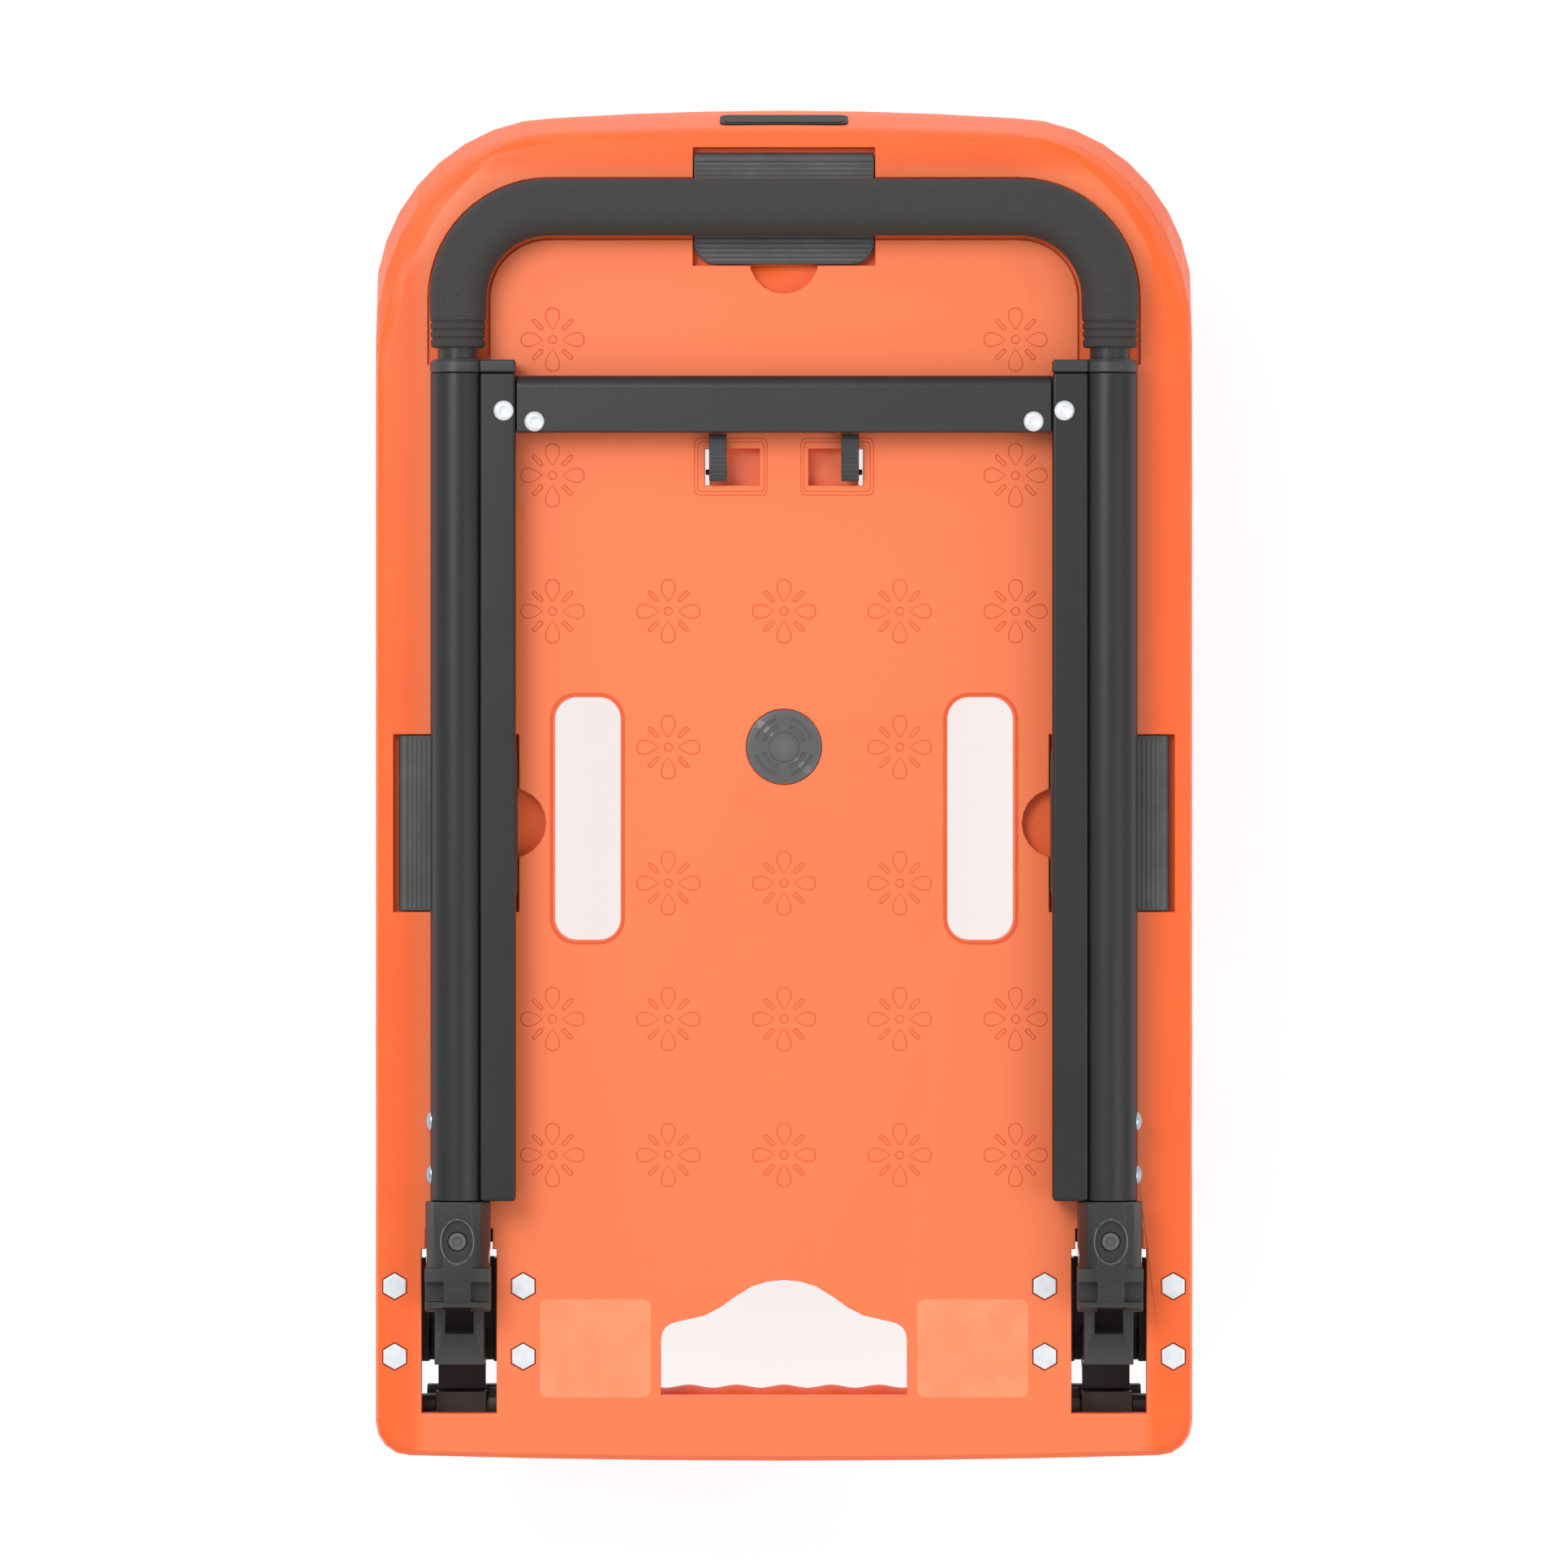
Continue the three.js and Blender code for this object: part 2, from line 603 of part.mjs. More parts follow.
function crossbar() {
  const half = railX + barX[0] - clearance;
  const round = 7;
  const profile = new THREE.Shape();
  profile.moveTo(crossbarY[0], -8);
  profile.lineTo(crossbarY[1] - round, -8);
  profile.absarc(crossbarY[1] - round, -1, round, -Math.PI / 2, 0);
  profile.lineTo(crossbarY[1], 1);
  profile.absarc(crossbarY[1] - round, 1, round, 0, Math.PI / 2);
  profile.lineTo(crossbarY[0], 8);
  return slab('yz', profile, [-half, half], 4);
}

// The joint piece between bracket and tube: a slot for the bracket's lug, a recess with a button,
// and notches that the lock slide's prongs reach for.
function knuckle() {
  const rear = hingeY - knuckleRear;
  const nose = 12;
  const levels = [-15.3, 16];
  const lugHalf = 7;
  const lugRadius = pinRadius + 7.3;
  const profile = new THREE.Shape();
  profile.moveTo(tubeHeel - clearance, levels[0]);
  profile.lineTo(tubeHeel - clearance, levels[1]);
  profile.lineTo(rear + nose, levels[1]);
  profile.absarc(rear + nose, levels[1] - nose, nose, Math.PI / 2, Math.PI);
  profile.lineTo(rear, nose + levels[0]);
  profile.absarc(rear + nose, nose + levels[0], nose, Math.PI, Math.PI * 1.5);
  const socket = join(
    rod('y', knuckleHalf, [rear - 5, tubeHeel + 5], [0, 0], 16),
    block([-knuckleHalf, knuckleHalf], [rear - 5, hingeY - 6], [-17, 17]),
  );
  const body = slab('yz', profile, [-20, 20], 5).intersect(socket);
  const plug = rod('y', innerTubeRadius - clearance, [tubeHeel - 4, tubeHeel + 34], [0, 0], 12);
  const lugRoom = [
    block([-lugHalf, lugHalf], [rear - 5, hingeY], [-20, hingeBelow + lugRadius]),
    rod('x', lugRadius, [-lugHalf, lugHalf], [hingeY, hingeBelow], 16),
    block([-lugHalf, lugHalf], [hingeY - 5, hingeY + lugRadius - 0.1], [-20, hingeBelow]),
  ];
  const notches = [1, -1].map((side) => block(
    mirrored([lugHalf + 0.4, 20], side), [hingeY - 24.2, hingeY - 13.6], [8.5, 20],
  ));
  const recess = new THREE.Shape();
  recess.absellipse(0, buttonY, 8.6, 12, 0, Math.PI * 2, false, 0);
  return cut(
    join(body, plug),
    ...lugRoom,
    ...notches,
    slab('xy', recess, [13.4, 20], 6),
    rod('z', bore(buttonRadius), [hingeBelow + 8, 20], [0, buttonY], 12),
    rod('x', bore(pinRadius), [-30, 30], [hingeY, hingeBelow], 12),
  );
}

function lockButton() {
  const profile = [
    [0, 0], [buttonRadius, 0], [buttonRadius, 4.2], [buttonRadius - 0.8, 5], [0, 5],
  ];
  return turned('z', profile, [0, 0], 12);
}

const hoopSides = 12;             // facets of the handle's inner tube, and of the foam's bore
function upperTube() {
  const path = hoopPath(railX, halfLength - legReach, gripY, gripBend);
  const hollow = hoopPath(railX, halfLength - legReach - 5, gripY, gripBend);
  const tube = sweep(path, innerTubeRadius, hoopSides);
  return cut(tube, sweep(hollow, innerTubeRadius - tubeWall, hoopSides));
}

function foamGrip() {
  const path = hoopPath(railX, halfLength - foamStart, gripY, gripBend);
  const hollow = hoopPath(railX, halfLength - foamStart - 5, gripY, gripBend);
  const sleeve = sweep(path, foamRadius, 16);
  return cut(sleeve, sweep(hollow, bore(innerTubeRadius) + 0.1, hoopSides));
}

// ---------- folding wheel beams, measured from their pivot axis, inboard side at -X ----------
const housingRadius = 14.8;
const beamBlock = { x: [-39.7, -15], z: [-15.5, 15.5] };
const mountX = [-43, -21];
const mountZ = 19;
const frontHousing = {
  stem: frontStemY,
  y: [frontStemY - 57.1, frontStemY + 46.7],
  block: [frontStemY - 46.5, frontStemY + 46.5],
};
const rearHousing = {
  stem: rearStemY,
  y: [rearStemY - 49.7, rearStemY + 46],
  block: [rearStemY - 44, rearStemY + 42],
};
const frontMountY = [frontStemY - 41.5, frontStemY + 43.2];
const rearMountY = [rearStemY - 42, rearStemY + 42];
const dogBore = 11.1;             // round counterbore that the dog's tongue lies in

function housing({ stem, y, block: blockY }, hasDog) {
  const body = join(
    rod('y', housingRadius, y, [0, 0], 20),
    block([-16, 0], y, [-housingRadius, housingRadius]),
    block(beamBlock.x, blockY, beamBlock.z),
  );
  const tools = [
    rod('y', bore(frameTubeRadius) + 0.1, [y[0] - 5, y[1] + 5], [0, 0], 12),
    rod('x', bore(stemRadius), [-60, -19], [stem, 0], 12),
    rod('z', 2, [-housingRadius - 5, -10], [0, (blockY[0] + blockY[1]) / 2], 8),
  ];
  if (hasDog) {
    tools.push(rod('y', dogBore, [y[0] - 5, y[0] + 11.5], [0, 0], 16));
    tools.push(block([-6.5, 6.5], [y[0] - 5, y[0] + 10.6], [-30, -7]));
  }
  return cut(body, ...tools);
}

function linkBar() {
  const y = [rearHousing.block[1] + clearance, frontHousing.block[0] - clearance];
  const section = roundedRectangle([-38.4, -19.4], [-8.5, 8.5], 1.5);
  const hollow = block([-36.6, -21.2], [y[0] - 5, y[1] + 5], [-6.7, 6.7]);
  return cut(slab('xz', section, y, 2), hollow);
}

function castorMount([from, to], stemY) {
  const sheet = 3;
  const section = polygon([
    [mountX[0], -mountZ], [mountX[1], -mountZ], [mountX[1], sheet - mountZ],
    [mountX[0] + sheet, sheet - mountZ], [mountX[0] + sheet, mountZ - sheet],
    [mountX[1], mountZ - sheet], [mountX[1], mountZ], [mountX[0], mountZ],
  ]);
  return cut(slab('xz', section, [from, to]), rod('x', bore(stemRadius), [-50, -30], [stemY, 0], 12));
}

const wheelX = -castorReach;
const fenderRadius = wheelRadius + 8.5;
const plateZ = [wheelWidth / 2 + 3, wheelWidth / 2 + 6]; // side plates of the forks

// The angle at which a line from a point touches the round axle boss.
function tangentAngle([x, y], radius, sense) {
  const dx = x - wheelX;
  const dy = y - castorTrail;
  return Math.atan2(dy, dx) + sense * Math.acos(radius / Math.hypot(dx, dy));
}

// A castor fork: two fin-shaped side plates, a crown, a curved guard over the tyre and the stem.
const crownHalf = 17.8;
function fork(swivel) {
  const boss = 17.5;
  const tip = (56 * Math.PI) / 180;
  const shoulder = (-8 * Math.PI) / 180;
  const point = [wheelX + fenderRadius * Math.cos(tip), castorTrail + fenderRadius * Math.sin(tip)];
  const heel = [wheelX + 42.9, castorTrail - 41.5];
  const outline = new THREE.Shape();
  outline.moveTo(-57, -crownHalf);
  outline.lineTo(-57, crownHalf);
  outline.absarc(wheelX, castorTrail, fenderRadius, shoulder, tip, false);
  outline.absarc(
    wheelX, castorTrail, boss,
    tangentAngle(point, boss, 1), tangentAngle(heel, boss, -1) + Math.PI * 2, false,
  );
  outline.lineTo(...heel);
  outline.lineTo(-73, -crownHalf);
  const guard = new THREE.Shape();
  guard.absarc(wheelX, castorTrail, fenderRadius, shoulder, tip, false);
  guard.absarc(wheelX, castorTrail, fenderRadius - 2.6, tip, shoulder, true);
  const neckEnd = swivel ? mountX[0] - 3.6 : mountX[0] - clearance;
  const parts = [
    slab('xy', outline, plateZ, 4),
    slab('xy', outline, mirrored(plateZ, -1), 4),
    slab('xy', guard, [-plateZ[0] - 0.5, plateZ[0] + 0.5], 4),
    block([-73, -56], [-crownHalf, crownHalf], [-plateZ[1], plateZ[1]]),
    rod('x', crownHalf, [-58, neckEnd], [0, 0], 16),
    rod('x', stemRadius, [-60, -24], [0, 0], 12),
  ];
  if (swivel) parts.push(rod('x', 13, [-58, mountX[0] - clearance], [0, 0], 12));
  const depth = plateZ[1] + 10;
  return cut(join(...parts), rod('z', bore(axleRadius), [-depth, depth], [wheelX, castorTrail], 12));
}

function axle() {
  const head = plateZ[1] + clearance;
  return turned('z', [
    [0, -head - 3.9], [3.6, -head - 3.4], [6, -head - 1.6], [6.6, -head], [axleRadius, -head],
    [axleRadius, head], [6.5, head], [6.5, head + 5], [0, head + 5],
  ], [0, 0], 12);
}

function hub() {
  const rim = wheelRadius - tyreDepth - clearance;
  const half = wheelWidth / 2;
  const dish = half - 6;
  const boss = half + 2.2;
  const inside = bore(axleRadius);
  return turned('z', [
    [inside, -boss], [11, -boss], [13, -dish], [rim - 8, -dish], [rim - 5, 1 - half], [rim, 1 - half],
    [rim, half - 1], [rim - 5, half - 1], [rim - 8, dish], [13, dish], [11, boss], [inside, boss],
    [inside, -boss],
  ], [0, 0], 16);
}

function tyre() {
  const seat = wheelRadius - tyreDepth;
  const half = wheelWidth / 2;
  return turned('z', [
    [seat, -half], [wheelRadius - 3.5, -half], [wheelRadius, -half + 4.5],
    [wheelRadius, half - 4.5], [wheelRadius - 3.5, half], [seat, half], [seat, -half],
  ], [0, 0], 24);
}

// ---------- release: bar, grip, lock slides, wires and beam dogs ----------
const bar = { reach: railX - 41.6, deep: 11.3, high: 5 };

function releaseBar() {
  const half = [bar.deep / 2, bar.high / 2];
  return block([-bar.reach, bar.reach], [-half[0], half[0]], [-half[1], half[1]]);
}

function releaseGrip() {
  const half = 75;
  const steps = 18;
  const wave = { pitch: 26, radius: 10.9, height: 0.6 };
  const profile = [[0, -half]];
  for (let i = 0; i <= steps; i += 1) {
    const x = -half + (2 * half * i) / steps;
    profile.push([wave.radius + wave.height * Math.cos((x / wave.pitch) * Math.PI * 2), x]);
  }
  profile.push([0, half]);
  const room = [bar.deep / 2 + clearance, bar.high / 2 + clearance];
  return cut(
    turned('x', profile, [0, 0], 12),
    block([-half - 5, half + 5], [-room[0], room[0]], [-room[1], room[1]]),
  );
}

// Lock slide, measured from the release bar's axis along Y and the ground along Z.
function lockSlide() {
  const thumbRear = -19.6;
  const rearHalf = 19.2;
  const thumb = new THREE.Shape();
  thumb.moveTo(11, 0);
  thumb.lineTo(11, thumbHeight - 4);
  thumb.lineTo(8, thumbHeight);
  thumb.lineTo(thumbRear, thumbHeight);
  thumb.lineTo(thumbRear, 10);
  thumb.absarc(thumbRear + 10, 10, 10, Math.PI, Math.PI * 1.5);
  const prongY = [40, 56];
  const prongZ = [59, 66];
  const parts = [
    slab('yz', thumb, [-rearHalf, rearHalf], 4),
    block([-14, 14], [-8, 8], [10, releaseLevel + 7]),
    block([-13, 13], [5, 42], [6, 15]),
    block([-13.5, 13.5], [24.5, 41.5], [6, prongZ[1]]),
    rod('x', 6.7, [-20.6, 31], [0, releaseLevel], 12),
    rod('x', 10, [bar.reach + clearance - railX, -15], [0, releaseLevel], 12),
    block([-13.5, -7.6], prongY, prongZ),
    block([7.6, 13.5], prongY, prongZ),
  ];
  const ridges = [-2, -1, 0, 1, 2].map((i) => block(
    [i * 7.2 - 0.9, i * 7.2 + 0.9], [thumbRear - 1, 12], [-1, 1.2],
  ));
  return cut(join(...parts), ...ridges);
}

function pullWire() {
  const low = 15;
  const high = pivotLevel - 1.4;
  const route = [
    [25, releaseY + 7.2, low], [25, hingeY + 10, low], [23, hingeY + 30, high - 2],
    [22.6, hingeY + 44, high], [22.6, dogPinY - 8, high], [20, dogPinY, high],
  ];
  const points = route.map(([x, y, z]) => new THREE.Vector3(x, y, z));
  const stations = points.map((point, i) => {
    const before = points[Math.max(i - 1, 0)];
    const after = points[Math.min(i + 1, points.length - 1)];
    return { point, direction: after.clone().sub(before).normalize() };
  });
  return sweep(new StationPath(stations), wireRadius, 6);
}

// The dog that keeps a beam from folding, sliding on the frame tube.
function beamDog() {
  const end = frontHousing.y[0] - clearance;
  const start = end - 58.7;
  const body = join(
    block([-13, 14], [start + 14, end], [-12, 12]),
    block([-11.7, 11.7], [start, end - 2], [-10.5, 10.5]),
    block([-3.15, 3.15], [end - 2, end + 6.2], [-10.3, -frameTubeRadius - 0.9]),
    rod('x', 5, [12, 17.4], [dogPinY, 0], 12),
  );
  return cut(
    body,
    rod('y', bore(frameTubeRadius) + 0.1, [start - 5, end + 5], [0, 0], 12),
    block([-2.95, 2.95], [start + 10, start + 33.6], [-20, 0]),
  );
}

// ---------- stop flaps and stow latches, measured from their hinge axes ----------
function stopFlap(half, reach) {
  const top = flapBarrel;
  const outline = new THREE.Shape();
  const corner = 12;
  outline.moveTo(-half, 0);
  outline.lineTo(-half, corner - reach);
  outline.absarc(corner - half, corner - reach, corner, Math.PI, Math.PI * 1.5);
  outline.lineTo(half - corner, -reach);
  outline.absarc(half - corner, corner - reach, corner, -Math.PI / 2, 0);
  outline.lineTo(half, 0);
  return join(
    slab('xy', outline, [top - flapThickness, top], 4),
    rod('x', flapBarrel, [-half, half], [0, 0], 12),
    rod('x', flapPinRadius, [-half - 2.6, half + 2.6], [0, 0], 8),
  );
}

const latchPivot = { y: windowY[0] + 7.4, z: deckTop - 8.2 };
function stowLatch() {
  const reach = crossbarY[0] - latchPivot.y - 0.5;
  const profile = polygon([
    [-1.8, 0], [-1.8, 10.6], [-5.3, 10.6], [-5.3, 14], [-3, 15.6], [reach - 5, 17.6],
    [reach, 16.4], [reach, 12.6], [2, 10.6], [2, 0],
  ]);
  return join(
    slab('yz', profile, [-4.8, 4.8]),
    rod('x', 3, [-4.8, 4.8], [0, 0], 12),
    rod('x', 1.6, [-4.8, 6.7], [0, 0], 8),
  );
}

// ---------- assembly ----------
const group = new THREE.Group();

function add(parent, name, material, solid, place = [0, 0, 0], flipped = false) {
  const mesh = new THREE.Mesh(toGeometry(solid, flipped), material);
  mesh.name = name;
  mesh.position.set(...place);
  parent.add(mesh);
  return mesh;
}

function frameAt(parent, place) {
  const frame = new THREE.Group();
  frame.position.set(...place);
  parent.add(frame);
  return frame;
}

add(group, 'deck_shell', orange, deckShell());
add(group, 'centre_cap', black, centreCap(), [...capCentre, deckTop]);
add(group, 'frame_rail', steel, frameRail(), [0, 0, pivotLevel]);

const handle = frameAt(group, [0, 0, handleLevel]);
add(handle, 'crossbar', steel, crossbar());
add(handle, 'upper_tube', steel, upperTube());
add(handle, 'foam_grip', foam, foamGrip());

const release = frameAt(group, [0, releaseY, 0]);
add(release, 'release_bar', steel, releaseBar(), [0, 0, releaseLevel]);
add(release, 'release_grip', orange, releaseGrip(), [0, 0, releaseLevel]);

for (const [word, side] of [['right', 1], ['left', -1]]) {
  const flipped = side === -1;
  const x = side * railX;

  add(group, `hinge_bracket_${word}`, steel, hingeBracket(), [x, 0, 0], flipped);
  add(group, `hinge_pin_${word}`, zinc, hingePin(), [x, 0, 0], flipped);
  add(group, `side_cover_${word}`, black, sideCover(), [x, 0, 0], flipped);

  add(handle, `outer_tube_${word}`, steel, outerTube(), [x, 0, 0], flipped);
  add(handle, `tube_collar_${word}`, black, tubeCollar(), [x, 0, 0], flipped);
  add(handle, `knuckle_${word}`, black, knuckle(), [x, 0, 0], flipped);
  add(handle, `lock_button_${word}`, black, lockButton(), [x, buttonY, hingeBelow + 10.8], flipped);

  const beam = frameAt(group, [x, 0, pivotLevel]);
  add(beam, `front_housing_${word}`, black, housing(frontHousing, true), [0, 0, 0], flipped);
  add(beam, `rear_housing_${word}`, black, housing(rearHousing, false), [0, 0, 0], flipped);
  add(beam, `link_bar_${word}`, steel, linkBar(), [0, 0, 0], flipped);
  add(beam, `front_mount_${word}`, steel, castorMount(frontMountY, frontStemY), [0, 0, 0], flipped);
  add(beam, `rear_mount_${word}`, steel, castorMount(rearMountY, rearStemY), [0, 0, 0], flipped);

  for (const [end, stemY] of [['front', frontStemY], ['rear', rearStemY]]) {
    const castor = frameAt(beam, [0, stemY, 0]);
    const wheel = frameAt(castor, [side * wheelX, castorTrail, 0]);
    add(castor, `${end}_fork_${word}`, black, fork(end === 'rear'), [0, 0, 0], flipped);
    add(wheel, `${end}_axle_${word}`, zinc, axle());
    add(wheel, `${end}_hub_${word}`, orange, hub());
    add(wheel, `${end}_tyre_${word}`, rubber, tyre());
  }

  add(release, `lock_slide_${word}`, black, lockSlide(), [x, 0, 0], flipped);
  add(group, `pull_wire_${word}`, zinc, pullWire(), [x, 0, 0], flipped);
  add(group, `beam_dog_${word}`, black, beamDog(), [x, 0, pivotLevel], flipped);

  const latchX = side * (windowX[1] - 7);
  add(group, `stow_latch_${word}`, black, stowLatch(), [latchX, latchPivot.y, latchPivot.z], flipped);

  const flap = stopFlap((sideFlap.y[1] - sideFlap.y[0]) / 2, sideFlap.hinge - sideFlap.inner);
  const flapPlace = [side * sideFlap.hinge, (sideFlap.y[0] + sideFlap.y[1]) / 2, deckTop - flapBarrel];
  const flapMesh = add(group, `side_flap_${word}`, black, flap, flapPlace);
  flapMesh.rotation.z = -side * Math.PI / 2;
}

const frontReach = frontFlap.hinge - frontFlap.inner;
const frontPlace = [0, frontFlap.hinge, deckTop - flapBarrel];
add(group, 'front_flap', black, stopFlap(frontFlap.half, frontReach), frontPlace);

export default group;
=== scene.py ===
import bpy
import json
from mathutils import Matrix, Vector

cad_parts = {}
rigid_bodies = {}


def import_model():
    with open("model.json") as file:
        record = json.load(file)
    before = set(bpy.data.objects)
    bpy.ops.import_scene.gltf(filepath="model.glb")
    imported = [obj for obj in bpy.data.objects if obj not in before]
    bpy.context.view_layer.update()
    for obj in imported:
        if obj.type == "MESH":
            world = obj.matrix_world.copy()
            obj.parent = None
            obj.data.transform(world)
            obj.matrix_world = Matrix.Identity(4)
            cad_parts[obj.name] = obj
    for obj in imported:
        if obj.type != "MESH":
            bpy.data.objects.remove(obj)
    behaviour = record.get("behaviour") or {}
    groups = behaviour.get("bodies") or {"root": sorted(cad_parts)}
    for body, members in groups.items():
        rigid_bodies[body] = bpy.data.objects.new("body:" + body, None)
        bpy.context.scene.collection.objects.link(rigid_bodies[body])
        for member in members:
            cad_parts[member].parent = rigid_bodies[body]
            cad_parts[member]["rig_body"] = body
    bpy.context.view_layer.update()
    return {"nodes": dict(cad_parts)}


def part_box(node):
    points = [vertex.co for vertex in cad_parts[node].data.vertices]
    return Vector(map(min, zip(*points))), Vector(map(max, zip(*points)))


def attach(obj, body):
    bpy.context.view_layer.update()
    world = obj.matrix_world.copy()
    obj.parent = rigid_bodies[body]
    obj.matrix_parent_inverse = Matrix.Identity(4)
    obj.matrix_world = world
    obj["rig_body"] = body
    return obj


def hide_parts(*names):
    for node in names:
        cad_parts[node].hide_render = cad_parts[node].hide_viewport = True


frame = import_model()

import json
import math

import bmesh
import bpy
from mathutils import Matrix, Vector

mm = 0.001
weld = 0.002 * mm
flatness = math.radians(0.4)
nodes = frame["nodes"]

# The middle of the load face, painted paler as a sheen where the light falls on it, which fades out past the
# grip; in metres.
paintedSheenArea = {
    "half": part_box("foam_grip")[1].x, "front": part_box("foam_grip")[1].y,
    "level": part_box("deck_shell")[1].z, "fade": 0.012, "drop": 0.0006,
}


# Shader maths on sockets: an expression on these values adds its Math nodes.
class Value:
    def __init__(self, finish, socket):
        self.finish = finish
        self.socket = socket

    def maths(self, operation, first, second):
        node = self.finish.node("ShaderNodeMath", {"operation": operation}, {0: first, 1: second})
        return Value(self.finish, node.outputs[0])

    def __add__(self, other):
        return self.maths("ADD", self, other)

    def __radd__(self, other):
        return self.maths("ADD", other, self)

    def __sub__(self, other):
        return self.maths("SUBTRACT", self, other)

    def __rsub__(self, other):
        return self.maths("SUBTRACT", other, self)

    def __mul__(self, other):
        return self.maths("MULTIPLY", self, other)

    def __rmul__(self, other):
        return self.maths("MULTIPLY", other, self)


class Finish:
    def __init__(self, name):
        self.material = bpy.data.materials.new(name)
        self.material.use_nodes = True
        self.tree = self.material.node_tree
        self.shader = self.tree.nodes["Principled BSDF"]

    def node(self, kind, settings=None, inputs=None):
        node = self.tree.nodes.new(kind)
        for name, setting in (settings or {}).items():
            if name == "stops":
                ramp = node.color_ramp.elements
                while len(ramp) < len(setting):
                    ramp.new(0.5)
                for stop, (place, grey) in zip(ramp, setting):
                    stop.position = place
                    stop.color = (grey, grey, grey, 1)
            else:
                setattr(node, name, setting)
        for name, value in (inputs or {}).items():
            self.feed(node.inputs[name], value)
        return node

    def feed(self, socket, value):
        if isinstance(value, Value):
            value = value.socket
        if isinstance(value, bpy.types.NodeSocket):
            self.tree.links.new(value, socket)
        else:
            socket.default_value = value

    def place(self):
        return self.node("ShaderNodeTexCoord").outputs["Object"]

    def noise(self, scale, detail=3, roughness=0.5, stretch=(1, 1, 1)):
        place = self.node("ShaderNodeMapping", None, {"Vector": self.place(), "Scale": stretch})
        inputs = {"Vector": place.outputs[0], "Scale": scale, "Detail": detail, "Roughness": roughness}
        return Value(self, self.node("ShaderNodeTexNoise", None, inputs).outputs[0])

    def cells(self, scale):
        inputs = {"Vector": self.place(), "Scale": scale}
        return Value(self, self.node("ShaderNodeTexVoronoi", None, inputs).outputs[0])

    def ramp(self, value, stops):
        node = self.node("ShaderNodeValToRGB", {"stops": stops}, {"Fac": value})
        return Value(self, node.outputs[0])

    def blend(self, share, first, second):
        inputs = {0: share, 6: first, 7: second}
        return self.node("ShaderNodeMix", {"data_type": "RGBA"}, inputs).outputs[2]

    def bump(self, height, strength, distance):
        inputs = {"Height": height, "Strength": strength, "Distance": distance}
        return self.node("ShaderNodeBump", None, inputs).outputs[0]

    def step(self, value, low, high):
        inputs = {"Value": value, 1: low, 2: high}
        node = self.node("ShaderNodeMapRange", {"interpolation_type": "SMOOTHSTEP"}, inputs)
        return Value(self, node.outputs[0])

    # Mask of the painted sheen: 1 on the middle of the load face, 0 on its border and below it.
    def paintedSheenMask(self):
        split = self.node("ShaderNodeSeparateXYZ", None, {0: self.place()})
        x, y, z = (Value(self, socket) for socket in split.outputs)
        half, front, level = paintedSheenArea["half"], paintedSheenArea["front"], paintedSheenArea["level"]
        inside = 1 - self.step(x * x, half ** 2, (half + paintedSheenArea["fade"]) ** 2)
        behind = 1 - self.step(y, front, front + paintedSheenArea["fade"])
        return inside * behind * self.step(z, level - paintedSheenArea["drop"], level)

    def surface(self, **inputs):
        for name, value in inputs.items():
            self.feed(self.shader.inputs[name.replace("_", " ")], value)
        return self.material


# A display colour, 0 to 255, as a linear one.
def shade(red, green, blue):
    def linear(value):
        share = value / 255
        return share / 12.92 if value <= 10 else ((share + 0.055) / 1.055) ** 2.4

    return (linear(red), linear(green), linear(blue), 1)


# Moulded plastic: eroded grain, slight mottling, and edges in a tone of their own, which is rubbed wear on most
# finishes and painted shade, a deeper orange, on the deck's rims; the deck also takes a painted sheen on its
# load face.
def mouldedPlastic(name, colour, deep, edgeWearAndShade, roughness, grain=2100, relief=0.16, paintedSheen=None, specular=0.5):
    finish = Finish(name)
    broad = finish.noise(14, 4)
    fine = finish.noise(grain, 2)
    pits = finish.cells(grain * 0.55)
    tone = finish.blend(finish.ramp(broad, [(0.32, 0), (0.7, 1)]), deep, colour)
    # The painted sheen: the middle of the load face is made paler.
    if paintedSheen:
        tone = finish.blend(finish.paintedSheenMask(), tone, paintedSheen)
    # Edge tone: rubbed wear, and on the deck a painted shade along its rims.
    pointed = finish.node("ShaderNodeNewGeometry").outputs["Pointiness"]
    edge = finish.ramp(pointed, [(0.53, 0), (0.6, 1)])
    rubbedAndShadedEdge = edge * finish.ramp(finish.noise(60, 3), [(0.35, 0.45), (0.7, 0.9)])
    gloss = roughness + (broad - 0.5) * 0.12 + (fine - 0.5) * 0.1
    height = fine * 0.6 + pits * 0.5
    return finish.surface(
        Base_Color=finish.blend(rubbedAndShadedEdge, tone, edgeWearAndShade),
        Roughness=gloss - rubbedAndShadedEdge * 0.08,
        Normal=finish.bump(height, relief, 0.00025),
        Specular_IOR_Level=specular,
    )


# Powder coat: orange peel with a fine speckle in the gloss.
def powderCoat(name, colour, pale):
    finish = Finish(name)
    peel = finish.noise(950, 2)
    speck = finish.cells(2600)
    broad = finish.noise(20, 3)
    tone = finish.blend(finish.ramp(speck, [(0.1, 1), (0.35, 0)]) * 0.35 + broad * 0.25, colour, pale)
    return finish.surface(
        Base_Color=tone,
        Roughness=0.36 + (speck - 0.3) * 0.12 + (broad - 0.5) * 0.12,
        Normal=finish.bump(peel, 0.16, 0.0003),
        Specular_IOR_Level=0.5,
    )


